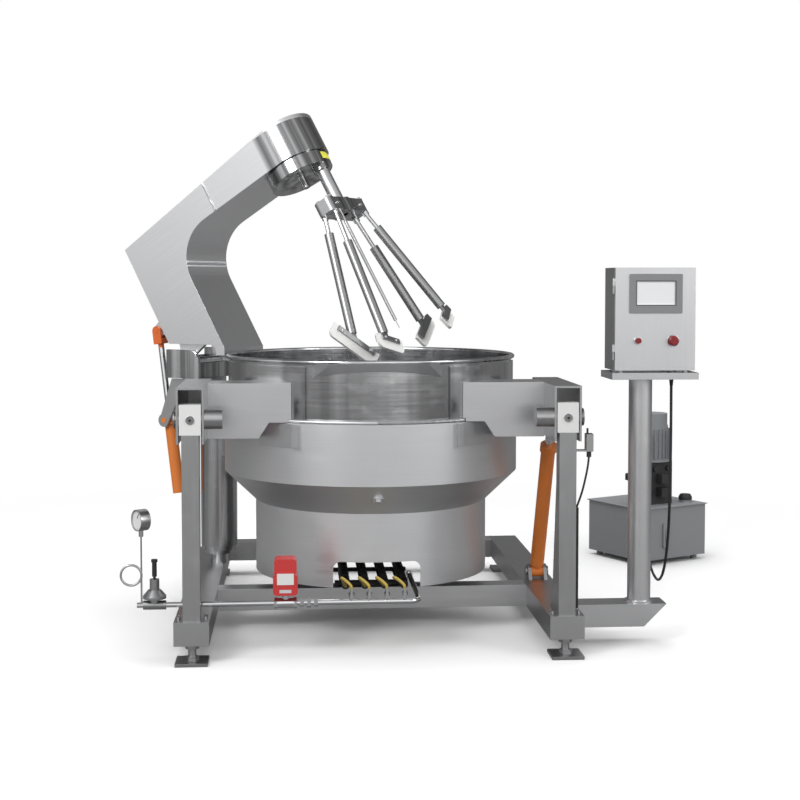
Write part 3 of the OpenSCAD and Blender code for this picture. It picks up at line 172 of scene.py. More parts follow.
def turned(centre, axis, profile, sides=40):
    """A lathe shape: profile lists (distance along the axis, radius), and each ring is
    centre + distance * axis + radius * (cos a, sin a) across the axis."""
    axis = np.asarray(axis, float) / np.linalg.norm(axis)
    u, v = across(axis)
    a = np.linspace(0, 2 * math.pi, sides, endpoint=False)[None, :, None]
    along, radius = np.asarray(profile, float).T[:, :, None, None]
    return skin(np.asarray(centre) + along * axis + radius * (np.cos(a) * u + np.sin(a) * v))


def tube(path, radius, sides, side=(1.0, 0.3, 0.1)):
    """Rings of that radius, or of one radius for each point, square to a route."""
    path = np.asarray(path, float)
    u, v = across(np.gradient(path, axis=0), side)
    a = np.linspace(0, 2 * math.pi, sides, endpoint=False)[None, :, None]
    r = np.broadcast_to(np.asarray(radius, float).reshape(-1, 1, 1), (len(path), 1, 1))
    return skin(path[:, None] + r * (np.cos(a) * u[:, None] + np.sin(a) * v[:, None]))


def spline(points, steps):
    """Catmull-Rom: between b and c, with neighbours a and d, the point at t is
    b + t/2 (c - a + t (2a - 5b + 4c - d + t (3(b - c) + d - a)))."""
    p = np.asarray(points, float)
    held = np.vstack([p[:1], p, p[-1:]])
    a, b, c, d = (held[k:len(p) - 1 + k, None] for k in range(4))
    t = (np.arange(steps) / steps)[None, :, None]
    curve = b + t / 2 * (c - a + t * (2 * a - 5 * b + 4 * c - d + t * (3 * (b - c) + d - a)))
    return np.vstack([curve.reshape(-1, 3), p[-1:]])


def length_of(path):
    """The sum of a path's straight steps."""
    return float(np.linalg.norm(np.diff(path, axis=0), axis=1).sum())


# %% [markdown]
# ## Shader sums
# A finish is a small sum over sockets. `Wire` lets that sum be written with plain
# operators, and `Recipe.node` makes every other node, so each finish reads as a recipe.

# %% Helpers for materials
class Wire:
    """A shader socket that can be added, taken away, multiplied and passed on."""

    def __init__(self, recipe, socket):
        self.recipe, self.socket = recipe, socket

    def _sum(self, operation, first, second):
        return self.recipe.node("ShaderNodeMath", {"operation": operation},
                                {0: first, 1: second})

    def __add__(self, other):
        return self._sum("ADD", self, other)

    def __sub__(self, other):
        return self._sum("SUBTRACT", self, other)

    def __rsub__(self, other):
        return self._sum("SUBTRACT", other, self)

    def __mul__(self, other):
        return self._sum("MULTIPLY", self, other)

    def __gt__(self, other):
        return self._sum("GREATER_THAN", self, other)

    def __lt__(self, other):
        return self._sum("LESS_THAN", self, other)

    def size(self):
        return self._sum("ABSOLUTE", self, 0.0)

    __rmul__ = __mul__


class Recipe:
    """One material: its node tree, and the node patterns that the finishes share."""

    def __init__(self, name):
        self.material = bpy.data.materials.new(name)
        self.material.use_nodes = True
        self.tree = self.material.node_tree
        self.shader = self.tree.nodes["Principled BSDF"]

    def node(self, kind, settings=None, sockets=None, out=0):
        """Makes a node, sets its settings, then its sockets, and gives one output."""
        made = self.tree.nodes.new(kind)
        for name, value in (settings or {}).items():
            setattr(made, name, value)
        for name, value in (sockets or {}).items():
            self.put(made.inputs[name], value)
        return Wire(self, made.outputs[out])

    def put(self, socket, value):
        if isinstance(value, Wire):
            self.tree.links.new(value.socket, socket)
        else:
            socket.default_value = value

    def moved(self, place, **change):
        """A place after one Mapping node, by its Location, Rotation or Scale."""
        return self.node("ShaderNodeMapping", None, {"Vector": place, **change})

    def place(self, scale=(1, 1, 1), turn=(0, 0, 0), centre=(0, 0, 0)):
        """Object coordinates with centre at the origin, then turned and scaled."""
        here = self.node("ShaderNodeTexCoord", out="Object")
        here = self.moved(here, Location=[-c for c in centre])
        return self.moved(here, Rotation=turn, Scale=scale)

    def axes(self, place):
        """The x, y and z of a place, as three numbers."""
        return [self.node("ShaderNodeSeparateXYZ", None, {0: place}, out=k)
                for k in range(3)]

    def noise(self, place, scale, detail=2.0, roughness=0.5):
        return self.node("ShaderNodeTexNoise", None,
                         {"Vector": place, "Scale": scale, "Detail": detail,
                          "Roughness": roughness})

    def ramp(self, value, low, high, start=0.3, end=0.7):
        """Low to high while value goes from start to end, and held beyond."""
        return self.node("ShaderNodeMapRange", None,
                         {"Value": value, "From Min": start, "From Max": end,
                          "To Min": low, "To Max": high})

    def blend(self, share, first, second):
        """A colour that goes from first to second as share goes from 0 to 1."""
        return self.node("ShaderNodeMix", {"data_type": "RGBA"},
                         {0: share, 6: first, 7: second}, out=2)

    def bump(self, height, strength, distance, edge=0.0):
        """Relief from a height, over edges that look rounded to the radius edge."""
        sockets = {"Height": height, "Strength": strength, "Distance": distance}
        if edge:
            sockets["Normal"] = self.node("ShaderNodeBevel", {"samples": 4}, {0: edge})
        self.put(self.shader.inputs["Normal"], self.node("ShaderNodeBump", None, sockets))

    def between(self, value, low, high):
        """1 where value lies between low and high, and 0 elsewhere."""
        return (value > low) * (value < high)

    def layers(self, base, others):
        """Looks (colour, roughness, metallic), each over the last where its mask is 1."""
        colour, rough, metallic = base
        for mask, (over, over_rough, over_metallic) in others:
            colour = self.blend(mask, colour, over)
            rough = rough * (1 - mask) + mask * over_rough
            metallic = metallic * (1 - mask) + mask * over_metallic
        return self.finish(Base_Color=colour, Roughness=rough, Metallic=metallic)

    def finish(self, **sockets):
        for name, value in sockets.items():
            self.put(self.shader.inputs[name.replace("_", " ")], value)
        return self.material


def grey(value):
    return (value, value * 1.005, value * 1.02, 1.0)


# %% [markdown]
# ## Steel
# Most of the machine is stainless sheet, rubbed with an abrasive belt. The belt leaves
# fine lines along the sheet. Long, thin noise gives those lines, and broad noise gives
# the cloudiness that hands and cleaning leave. The lines run along each piece's length,
# so there is one steel for each direction.

# %% Brushed and polished steel
def brushed_steel(name, lines, tone=0.56, rough=0.27, cloud=0.03, grain=0.03, edge=0.0015,
                  painted_streaks=None, dark=0.0):
    """Brushed sheet. lines is the noise scale on each axis, small along the belt.
    painted_streaks is the scale of broad dark and bright stripes, painted reflections in the
    colour, and dark is how deep they go."""
    r = Recipe(name)
    belt = r.noise(r.place(scale=lines), 1.0, 3.0, 0.6)
    clouds = r.noise(r.place(), 2.6, 3.0, 0.55)
    wiped = r.noise(r.place(scale=(1, 1, 1.7)), 11.0, 4.0, 0.6)
    shade = r.ramp(belt, 0.0, 0.5) + r.ramp(clouds, 0.0, 0.5)
    colour = r.blend(shade, grey(tone - cloud), grey(tone + cloud))
    # Painted reflection: broad dark and bright streaks of the shop's light, put into the
    # colour.
    if painted_streaks:
        painted_reflection_bands = r.ramp(r.noise(r.place(scale=painted_streaks), 1.0, 3.0, 0.55), 0.0, 1.0, 0.42, 0.60)
        colour = r.blend(painted_reflection_bands, grey(tone * (1 - dark)), colour)
    r.bump(belt, grain, 0.0003, edge)
    return r.finish(Base_Color=colour,
                    Roughness=r.ramp(belt, rough - 0.03, rough + 0.03)
                    + r.ramp(wiped, 0.0, 0.06, 0.52, 0.72),
                    Metallic=1.0)


FINE = 240
# The tones differ from group to group as painted light and shade, set to how bright each group
# stands: the door is lighter than the cabinet's shell round it, and the uprights, the sleeves
# and the dark steel are darker. The brushing direction of each is real.
steel_x = brushed_steel("brushed_steel_x", (4, FINE, FINE), tone=0.68, rough=0.34)
steel_y = brushed_steel("brushed_steel_y", (FINE, 4, FINE), tone=0.52, rough=0.34)
steel_z = brushed_steel("brushed_steel_z", (FINE, FINE, 4), tone=0.46, rough=0.34)
steel_door = brushed_steel("brushed_steel_door", (FINE, FINE, 4), tone=0.74, rough=0.36)
# Painted reflection: the rest column and the arm's pedestal get vertical dark and bright
# streaks in their colour.
steel_painted_streaks = brushed_steel("steel_with_painted_streaks", (FINE, FINE, 4), tone=0.72, rough=0.22,
                               painted_streaks=(24, 24, 0.2), dark=0.6)
steel_jacket = brushed_steel("brushed_steel_jacket", (3, 3, FINE), tone=0.74, rough=0.42)
# Painted reflection: the pot's wall gets tall dark and bright streaks in its colour.
steel_pot = brushed_steel("polished_steel_pot", (3, 3, 160), tone=0.88, rough=0.14,
                          grain=0.01, painted_streaks=(6, 6, 0.15), dark=0.45)
steel_tube = brushed_steel("polished_steel_tube", (6, 6, 6), tone=0.62, rough=0.30, grain=0.0,
                           edge=0.0)
steel_sleeve = brushed_steel("sleeve_steel", (6, 6, 6), tone=0.38, rough=0.36, grain=0.0,
                             edge=0.0)
steel_dark = brushed_steel("brushed_steel_dark", (60, 60, 60), tone=0.42, rough=0.32)
# Near-white weld steel: its brightness is partly a painted highlight.
white_weld = brushed_steel("weld_with_painted_highlight", (40, 40, 40), tone=0.92, rough=0.45, grain=0.0,
                           edge=0.0)
chrome = brushed_steel("chromed_steel", (6, 6, 6), tone=0.78, rough=0.10, cloud=0.02,
                       grain=0.0, edge=0.0)
gear_steel = brushed_steel("gear_steel", (90, 90, 90), tone=0.42, rough=0.34)
print("materials with the steels:", len(bpy.data.materials))

# %% [markdown]
# The arm's sides are satin, and its round nose is polished. The shop's lights are painted into
# the nose's colour as bright and dark stripes along the head's axis, as painted reflections.
# The finish works in the arm's own measures, so the same turns as in `on_arm` are taken back
# here, in the other order.

# %% The arm's finish
NOSE_SQUARES = (0.0235, 0.0262)  # where the bands fade, as squares of 153 and 162 mm
NOSE_TOP = 0.650


def arm_finish(name, tone=0.82, rough=0.33):
    """Satin steel, with painted reflections within 160 mm of the head's axis: dark and bright
    stripes in the colour.
    """
    r = Recipe(name)
    here = r.place(centre=(0, POT_Y, 0), turn=(0, 0, ARM_TURN))
    here = r.moved(here, Location=(-ARM_PIVOT[0] / 1000, 0, -ARM_PIVOT[1] / 1000))
    here = r.moved(here, Rotation=(0, ARM_RAISE, 0))
    x, y, z = r.axes(here)
    x = x - HEAD_X / 1000
    near = r.ramp(x * x + y * y, 1.0, 0.0, *NOSE_SQUARES)
    nose = near * r.ramp(x, 0.0, 1.0, start=-0.12, end=-0.07) * (z < NOSE_TOP)
    # Painted reflection: bright and dark stripes along the head's axis, put into the nose's
    # colour.
    painted_reflection_bands = r.noise(r.moved(here, Scale=(26, 26, 0.05)), 1.0, 3.0, 0.6)
    painted_reflection_bands = r.ramp(painted_reflection_bands, 0.0, 1.0, start=0.40, end=0.62)
    belt = r.noise(r.moved(here, Scale=(3, FINE, FINE)), 1.0, 3.0, 0.6)
    satin = r.blend(r.ramp(belt, 0.0, 1.0), grey(tone - 0.03), grey(tone + 0.03))
    painted_reflections = r.blend(painted_reflection_bands, grey(0.20), grey(0.62))
    r.bump(belt, 0.02, 0.0003, 0.0015)
    return r.finish(Base_Color=r.blend(nose, satin, painted_reflections),
                    Roughness=rough - nose * 0.08, Metallic=1.0)


steel_arm = arm_finish("brushed_steel_arm")
steel_head = arm_finish("polished_steel_head", tone=0.5, rough=0.26)
print("arm's finish turned back by", round(math.degrees(ARM_RAISE)), "degrees")

# %% [markdown]
# ## Paint, plastic and rubber
# Sprayed paint has a faint orange peel and gathers dust. Moulded plastic has a finer
# grain. One recipe serves both, and the roughness of its bumps tells them apart.

# %% Paint, plastic and rubber
def coat(name, colour, rough=0.35, worn=None, peel=900.0, depth=0.08):
    """A coloured coat with small bumps, dust that lightens it, and worn patches."""
    r = Recipe(name)
    worn = worn or tuple(0.55 * c + 0.12 for c in colour[:3]) + (1.0,)
    dust = r.noise(r.place(), 8.0, 5.0, 0.62)
    fine = r.noise(r.place(), peel, 2.0)
    r.bump(fine, depth, 0.0003)
    return r.finish(Base_Color=r.blend(r.ramp(dust, 0.0, 0.22, 0.5, 0.8)
                                       + r.ramp(fine, 0.0, 0.06), colour, worn),
                    Roughness=r.ramp(dust, rough - 0.05, rough + 0.1), Metallic=0.0)


orange_paint = coat("orange_paint", (0.80, 0.22, 0.035, 1), 0.34)
red_plastic = coat("red_plastic", (0.24, 0.018, 0.02, 1), 0.22, (0.27, 0.03, 0.03, 1),
                   depth=0.03)
white_plastic = coat("white_plastic", (0.80, 0.80, 0.78, 1), 0.42, (0.62, 0.62, 0.58, 1))
black_plastic = coat("black_plastic", (0.02, 0.02, 0.022, 1), 0.4)
black_iron = coat("black_iron", (0.025, 0.025, 0.027, 1), 0.5, (0.1, 0.085, 0.07, 1),
                  peel=260.0, depth=0.3)
grey_paint = coat("grey_paint", (0.29, 0.30, 0.315, 1), 0.38)
motor_paint = coat("motor_paint", (0.24, 0.25, 0.265, 1), 0.4)
hose_yellow = coat("hose_yellow", (0.50, 0.36, 0.06, 1), 0.38, depth=0.05)
black_rubber = coat("black_rubber", (0.016, 0.016, 0.017, 1), 0.5, peel=500.0)
yellow_plate = coat("yellow_plate", (0.70, 0.68, 0.05, 1), 0.35, depth=0.02)
print("materials with the coats:", len(bpy.data.materials))

# %% [markdown]
# The touch panel is one moulding with a pale screen in it. The two differ only by place,
# so a mask on object coordinates paints the screen: 1 inside its half width and half
# height, and 0 outside.

# %% The touch panel's bezel and screen
panel_low, panel_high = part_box("touch_panel")
SCREEN_HALF = (0.0745, 0.0442)
SCREEN_UP, LIP = 0.002, 0.004  # above the bezel's middle, and the dark line's width


def panel_finish():
    """A grey moulding, a dark lip, and the pale screen inside it."""
    r = Recipe("panel_grey_and_screen")
    centre = ((panel_low.x + panel_high.x) / 2, 0, (panel_low.z + panel_high.z) / 2 + SCREEN_UP)
    x, _, z = r.axes(r.place(centre=centre))
    screen = (x.size() < SCREEN_HALF[0]) * (z.size() < SCREEN_HALF[1])
    lip = (x.size() < SCREEN_HALF[0] + LIP) * (z.size() < SCREEN_HALF[1] + LIP) - screen
    fine = r.noise(r.place(), 700.0, 2.0)
    shell = r.blend(r.ramp(fine, 0.0, 1.0), (0.23, 0.235, 0.24, 1), (0.27, 0.275, 0.28, 1))
    shell = r.blend(lip, shell, (0.10, 0.10, 0.105, 1))
    r.bump(fine * (1 - screen), 0.08, 0.0003)
    return r.finish(Base_Color=r.blend(screen, shell, (0.86, 0.87, 0.88, 1)),
                    Roughness=0.42 - screen * 0.3)


panel_grey = panel_finish()
print("screen in m:", [round(2 * half, 4) for half in SCREEN_HALF])

# %% [markdown]
# ## One solid, two materials
# Some solids join parts that the real machine makes of different stuff: a bolt in a white
# block, a dial in a steel case, a plate on a red housing. Each is painted with masks on
# object coordinates, which are whole distances in metres from the part's own centre.

# %% Looks, and the solids that carry two of them
WHITE = ((0.80, 0.80, 0.79, 1), 0.35, 0.0)
PALE = ((0.62, 0.63, 0.64, 1), 0.35, 0.0)
BLACK = ((0.02, 0.02, 0.022, 1), 0.42, 0.0)
CHROME = (grey(0.74), 0.14, 1.0)
STEEL = (grey(0.55), 0.30, 1.0)
RED = ((0.60, 0.045, 0.045, 1), 0.36, 0.0)
ORANGE = ((0.80, 0.16, 0.03, 1), 0.34, 0.0)


def masked(name, centre, turn, base, painter):
    """A material whose masks painter(recipe, x, y, z) lists, about a centre."""
    r = Recipe(name)
    x, y, z = r.axes(r.place(centre=centre, turn=turn))
    r.bump(r.noise(r.place(), 500.0, 2.0), 0.03, 0.0003, 0.001)
    return r.layers(base, painter(r, x, y, z))


def block_masks(r, x, y, z):
    """A chromed disc in front of the block's face, and a black bolt in front of that."""
    disc_y, bolt_y = -0.0003, -0.0034
    return [(y < disc_y, CHROME), (y < bolt_y, BLACK)]


def gauge_masks(r, x, y, z):
    """A white dial, a black mark at top and bottom, and black on what stands before it."""
    dial_r, dial_y, front_y = 0.0367, -0.0118, -0.0141
    tick_from, tick_to, tick_half = 0.0290, 0.0345, 0.0012
    out = x * x + z * z
    dial = (y < dial_y) * (out < dial_r ** 2) * (z > -dial_r)
    ticks = r.between(out, tick_from ** 2, tick_to ** 2) * (x.size() < tick_half)
    return [(dial, WHITE), (dial * ticks, BLACK), (dial * (y < front_y), BLACK)]


def plate_masks(r, x, y, z):
    """A bare white plate with a red edge line, and a pale strip below it."""
    half_x, half_z, line = 0.0332, 0.0232, 0.0020
    plate = (y < 0) * (x.size() < half_x) * (z.size() < half_z)
    rim = plate * (1 - (x.size() < half_x - line) * (z.size() < half_z - line))
    strip = (y < 0.004) * (x.size() < 0.022) * r.between(z, -0.052, -0.040)
    return [(plate, WHITE), (rim, RED), (strip, PALE)]


block_low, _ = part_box("bearing_blocks")
valve_low, valve_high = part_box("shutoff_actuator")
BOLT_OUT, PLATE_OUT = 0.011, 0.0012  # how far the bolt and the plate stand out
DIAL_CENTRE = from_pot([(-888, -620, 520)])[0].tolist()
PLATE_CENTRE = ((valve_low.x + valve_high.x) / 2, valve_low.y + PLATE_OUT, 0.298)
FORK_Z = 1.112
SWITCH_Z, SWITCH_H = 0.7715, 0.066
UNTURNED = (0, 0, 0)
white_block = masked("white_block_and_bolt", (0, block_low.y + BOLT_OUT, 0), UNTURNED, WHITE,
                     block_masks)
dial_case = masked("gauge_case_and_dial", DIAL_CENTRE, (0, 0, math.radians(55)), STEEL,
                   gauge_masks)
valve_red = masked("red_housing_and_plate", PLATE_CENTRE, UNTURNED, RED, plate_masks)
rod_and_fork = masked("chromed_rod_and_fork", (0, 0, FORK_Z), UNTURNED, CHROME,
                      lambda r, x, y, z: [(z > 0, ORANGE)])
switch_and_lead = masked("switch_and_lead", (0, 0, SWITCH_Z), UNTURNED, STEEL,
                         lambda r, x, y, z: [(z < 0, BLACK), (z > SWITCH_H, BLACK)])
print("dial at", np.round(DIAL_CENTRE, 3).tolist(), "plate at", np.round(PLATE_CENTRE, 3))

# %% [markdown]
# ## A finish for every solid
# The CAD solids keep their shape, and only their material slots are filled. The list
# below is the whole machine, so a solid that it leaves out is printed.

# %% Finish each solid
FINISHES = {
    steel_x: ["cross_beams", "control_stand", "pot_ears"],
    steel_y: ["side_rails", "side_channels", "rear_beam"],
    steel_z: ["posts", "cabinet_shell"],
    steel_door: ["cabinet_door"],
    steel_painted_streaks: ["rest_column", "arm_pedestal"],
    steel_arm: ["swan_arm"],
    steel_jacket: ["jacket", "pouring_lip"],
    steel_pot: ["bowl", "ear_saddles"],
    steel_head: ["head_drum", "tool_hub"],
    steel_dark: ["tilt_base", "gas_regulator", "levelling_feet", "trunnion_shafts"],
    gear_steel: ["sun_gear"],
    steel_tube: ["tool_shaft"],
    steel_sleeve: ["leg_sleeve_a", "leg_sleeve_b", "leg_sleeve_c", "leg_sleeve_d"],
    chrome: ["arm_shaft", "leg_rods", "tilt_rod", "gas_pipe", "burner_taps", "tap_lever_a",
             "tap_lever_b", "tap_lever_c", "tap_lever_d"],
    orange_paint: ["tilt_barrel", "lift_barrel"],
    rod_and_fork: ["lift_rod"],
    valve_red: ["shutoff_actuator"],
    red_plastic: ["emergency_stop", "start_button"],
    white_plastic: ["scraper_a", "scraper_b", "scraper_c", "scraper_d"],
    white_block: ["bearing_blocks"],
    dial_case: ["pressure_gauge"],
    switch_and_lead: ["limit_switch"],
    black_plastic: ["regulator_knob", "filler_cap"],
    black_iron: ["burners", "valve_block"],
    grey_paint: ["oil_tank"],
    motor_paint: ["pump_motor", "head_motor"],
    panel_grey: ["touch_panel"],
    hose_yellow: ["gas_hoses"],
    black_rubber: ["control_cable"],
}
for material, names in FINISHES.items():
    for name in names:
        for slot in NODES[name].material_slots:
            slot.material = material
        if not NODES[name].material_slots:
            NODES[name].data.materials.append(material)
finished = {name for names in FINISHES.values() for name in names}
print(len(finished), "solids finished, without one:", sorted(set(NODES) - finished))

# %% [markdown]
# ## The control cable
# The cable leaves a gland under the cabinet, hangs in one long sag and goes up into the
# pump motor's terminal box. It is a round tube along the same points as the CAD cord,
# because its place and its length are already settled there.

# %% The control cable
CABLE_R = 0.0055
CABLE_ROUTE = [(1150, -480, 1045), (1150, -480, 980), (1151, -478, 800), (1153, -466, 620),
               (1158, -436, 470), (1168, -370, 335), (1184, -260, 225), (1208, -100, 155),
               (1240, 100, 128), (1276, 320, 135), (1312, 540, 182), (1344, 735, 270),
               (1377, 860, 370), (1405, 955, 462), (1423, 1020, 518), (1432, 1065, 545),
               (1433.5, 1077.5, 556), (1433.5, 1077.5, 568)]
cable_path = from_pot(spline(CABLE_ROUTE, 10))
cable = piece("cable", [tube(cable_path, CABLE_R, 18, (1, 0.2, 0.1))], black_rubber, "base")
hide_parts("control_cable")
print("cable length", round(length_of(cable_path), 3))

# %% [markdown]
# A cable that hangs from a housing is held by a tapered sleeve, so that it can't kink at
# the edge. The sleeve is a turned shape with ribs, and its thick end meets the gland.

# %% The cable's sleeves
def sleeve_profile(length, thick, thin, ribs=6):
    """Radius from thick to thin along the length, with a sine for each rib."""
    s = np.linspace(0, 1, 8 * ribs + 1)
    wave = 0.0006 * np.sin(2 * math.pi * ribs * s) * (1 - s)
    return np.column_stack([s * length, thick + (thin - thick) * s + wave])


piece("cable_sleeves", [
    turned(cable_path[0], (0, 0, -1),
           sleeve_profile(length=0.045, thick=0.0105, thin=CABLE_R + 0.0006)),
    turned(cable_path[-1], (0, 0, -1), [(-0.001, 0.012), (0.008, 0.012), (0.010, 0.0075)]),
], black_rubber, "base")

# %% [markdown]
# ## The gas hoses
# Four short hoses carry gas from the taps to the burners. Each leaves its tap upwards,
# leans to the left and runs back to its burner, as in the photograph.

# %% The gas hoses
HOSE_R = 0.0055
TAP_FIRST, TAP_PITCH = -105, 67
BURNER_FIRST, BURNER_PITCH, BURNER_Z = -117, 78, 196
for i, letter in enumerate("abcd"):
    tap_x, burner_x = TAP_FIRST + TAP_PITCH * i, BURNER_FIRST + BURNER_PITCH * i
    route = [(tap_x, -620, 248.6), (tap_x - 3, -619, 262), (tap_x - 20, -604, 276),
             (tap_x - 34, -570, 280), (tap_x - 34, -520, 268),
             ((tap_x + burner_x) / 2 - 20, -440, 240), (burner_x - 6, -370, 208),
             (burner_x, -330, BURNER_Z + 1), (burner_x, -305.6, BURNER_Z)]
    path = from_pot(spline(route, 8))
    hose = piece(f"gas_hose_{letter}", [tube(path, HOSE_R, 16, (1, 0.3, 0))], hose_yellow,
                 "base")
    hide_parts("gas_hoses")
    print("its length", round(length_of(path), 3))

# %% [markdown]
# ## Welds
# A weld is a row of small overlapping ripples. A tube along the joint, half sunk in the
# sheet, gives it when its radius rises and falls with a short sine. The arm has one across
# its side, where the neck meets the head's box, and a double one across its inner bend.

# %% Welds on the arm
RIPPLE = 0.004  # metres from one ripple to the next


def weld(path, width):
    """A tube whose radius is width/2 * (1 + 0.14 sin(2 pi s / RIPPLE))."""
    path = np.asarray(path, float)
    steps = max(8, int(length_of(path) / RIPPLE * 4))
    run = np.concatenate([[0], np.cumsum(np.linalg.norm(np.diff(path, axis=0), axis=1))])
    s = np.linspace(0, run[-1], steps)
    fine = np.column_stack([np.interp(s, run, path[:, k]) for k in range(3)])
    return tube(fine, width / 2 * (1 + 0.14 * np.sin(2 * math.pi * s / RIPPLE)), 8)


ARM_HALF, INSET = 150, 2  # half the arm's width, and how far a weld stops short of an edge
SEAM_X, SEAM_LOW = 463, 495
NECK_BACK, NECK_TOP, TOP_SLOPE = -45, 599, 0.068
SEAM_HIGH = NECK_TOP + TOP_SLOPE * (SEAM_X - NECK_BACK)
CURVE_CENTRE, CURVE_R, CURVE_AT = (392, 307), 188, math.radians(24)
BEND_X = CURVE_CENTRE[0] - CURVE_R * math.cos(CURVE_AT)
BEND_Z = CURVE_CENTRE[1] + CURVE_R * math.sin(CURVE_AT)
seams = [weld(on_arm([(SEAM_X, side * ARM_HALF, SEAM_LOW + INSET),
                      (SEAM_X, side * ARM_HALF, SEAM_HIGH - INSET)]), 0.011)
         for side in (-1, 1)]
bends = [weld(on_arm([(BEND_X - back, INSET - ARM_HALF, BEND_Z - down),
                      (BEND_X - back, ARM_HALF - INSET, BEND_Z - down)]), 0.009)
         for back, down in ((0, 0), (7, 17))]
# The welds are real beads, and their near-white tone is a painted highlight, as on the double
# weld across the inner bend.
piece("arm_welds", seams + bends, white_weld, "arm")

# %% [markdown]
# ## The plate on the head
# A thin bare plate is curved round the rotating drum. Its rings are small rectangles that
# step round the drum's axis, from the drum's face to just above it.

# %% The bare plate on the drum
def curved_plate(low, high, start, end, gap=0.1, thick=1.2, steps=14):
    """Rectangles (radius, height) carried round the drum from start to end degrees."""
    a = np.radians(np.linspace(start, end, steps))[:, None]
    r = DRUM_R + np.array([gap, thick, thick, gap])[None]
    z = np.array([low, low, high, high], float)[None] + 0 * a
    ring = np.stack([HEAD_X + r * np.cos(a), r * np.sin(a), z], axis=-1)
    return skin(on_arm(ring.reshape(-1, 3)).reshape(ring.shape))


piece("drum_plate", [curved_plate(low=452, high=484, start=-8, end=30)], yellow_plate,
      "carrier")

# %% [markdown]
# ## Clamp bars, screws and nuts
# Each scraper is held between two bars: the sleeve's foot is one, and the next step adds
# the other, with two screws. `on_leg` gives a place in the leg's own leaning measures. A
# leg's numbers are its x and y on the hub, its leans about x and y in degrees, the rod
# shown above its sleeve, the sleeve's length, and its blade's length, slope and turn.

# %% The legs' places
HUB_X, HUB_Z, HUB_H = 930, 227, 60
BLADE_DROP = 36  # from the sleeve's end to the blade's clamp
BLADE = 6  # where the blade's length stands in a leg's numbers
BAR_SHORT = 22  # the bar stops this far before each end of the blade
LEGS = {"leg_a": (-28, -122, -10, 9.4, 78, 440, 230, 40, 243),
        "leg_b": (28, -122, -7.6, 1.8, 150, 424, 150, 12, 264),
        "leg_c": (-28, 136, 9.6, -2, 142, 370, 190, 22, 84),
        "leg_d": (28, 128, 9.7, -8.9, 84, 436, 170, 16, 96)}


def turn(points, axis, degrees):
    """Points turned about the x, y or z axis by degrees."""
    a = math.radians(degrees)
    i, j = [(1, 2), (2, 0), (0, 1)][axis]
    turned_points = np.array(points, float)
    turned_points[..., i] = points[..., i] * math.cos(a) - points[..., j] * math.sin(a)
    turned_points[..., j] = points[..., i] * math.sin(a) + points[..., j] * math.cos(a)
    return turned_points


def on_leg(points, leg):
    """(along, across, up) at the blade's clamp in mm, as the frame's metres."""
    x, y, lean_x, lean_y, shown, sleeve, _, slope, way = LEGS[leg]
    clamp = (0, 0, -BLADE_DROP - shown - sleeve)
    p = turn(turn(np.asarray(points, float), 1, -slope), 2, way) + clamp
    p = turn(turn(p, 0, lean_x), 1, lean_y) + (x + HUB_X, y, HUB_Z - HUB_H / 2)
    return on_arm(p.reshape(-1, 3)).reshape(p.shape)


def leg_bar(leg, low, high):
    """A bar with turned-off edges: eight-sided rings along the blade."""
    half, c = LEGS[leg][BLADE] / 2 - BAR_SHORT, 1.5
    x = np.array([-half, -half + c, half - c, half])[:, None]
    shrink = np.array([c, 0, 0, c])[:, None]
    y0, y1 = low[0] + shrink, high[0] - shrink
    z0, z1 = low[1] + shrink, high[1] - shrink
    ring = [(y0 + c, z0), (y1 - c, z0), (y1, z0 + c), (y1, z1 - c), (y1 - c, z1), (y0 + c, z1),
            (y0, z1 - c), (y0, z0 + c)]
    return skin(on_leg(np.stack([np.stack([x[:, 0], y[:, 0], z[:, 0]], axis=-1)
                                 for y, z in ring], axis=1), leg))


for leg in LEGS:
    print(leg, "has its clamp at", on_leg(np.zeros((1, 3)), leg)[0].round(3).tolist())

# %% [markdown]
# A hexagon head is a lathe shape with six sides and a turned-off corner. A socket head is
# a round one with a hole. Both stand on a washer, and the screws of a group are one piece.

# %% Screws, and the clamp bars on the blades
def hexagon(centre, axis, size, height):
    """A washer and a six-sided head: size is the distance between corners, halved."""
    return [turned(centre, axis, [(0, size * 1.25), (0.0014, size * 1.25)], 24),
            turned(centre, axis, [(0.0012, size), (height - 0.0012, size),
                                  (height, size * 0.86)], 6)]


def socket_head(centre, axis, size, height):
    """A round head with a blind hole: the profile goes up, over the rim and down."""
    return [turned(centre, axis, [(0, size), (height - 0.0006, size), (height, size - 0.0006),
                                  (height, size * 0.55), (height * 0.45, size * 0.5)], 20)]


BLADE_FACE = 7.2 + 12  # half the foot and its seat, then the blade's own thickness
BAR_T, BAR_LOW, BAR_HIGH, BAR_GAP = 6, -12, 11, 0.1
SCREW_IN = 44  # from the blade's end
for leg, numbers in LEGS.items():
    outer, inner = on_leg(np.array([(0.0, 1, 0), (0, 0, 0)]), leg)
    facing, reach = outer - inner, numbers[BLADE] / 2 - SCREW_IN
    places = on_leg(np.array([(s * reach, BLADE_FACE + BAR_T, 1) for s in (-1, 1)]), leg)
    bar = leg_bar(leg, (BLADE_FACE + BAR_GAP, BAR_LOW),
                  (BLADE_FACE + BAR_GAP + BAR_T, BAR_HIGH))
    piece(f"clamp_{leg}", [bar], steel_dark, leg)
    piece(f"clamp_screws_{leg}", [part for place in places
                                  for part in hexagon(place, facing, 0.0065, 0.005)],
          chrome, leg)

# %% [markdown]
# The hub carries a locknut over each leg's rod and two clamp screws on each long side.
# The buttons on the cabinet have a bright collar, which the photograph shows as a light
# rim.

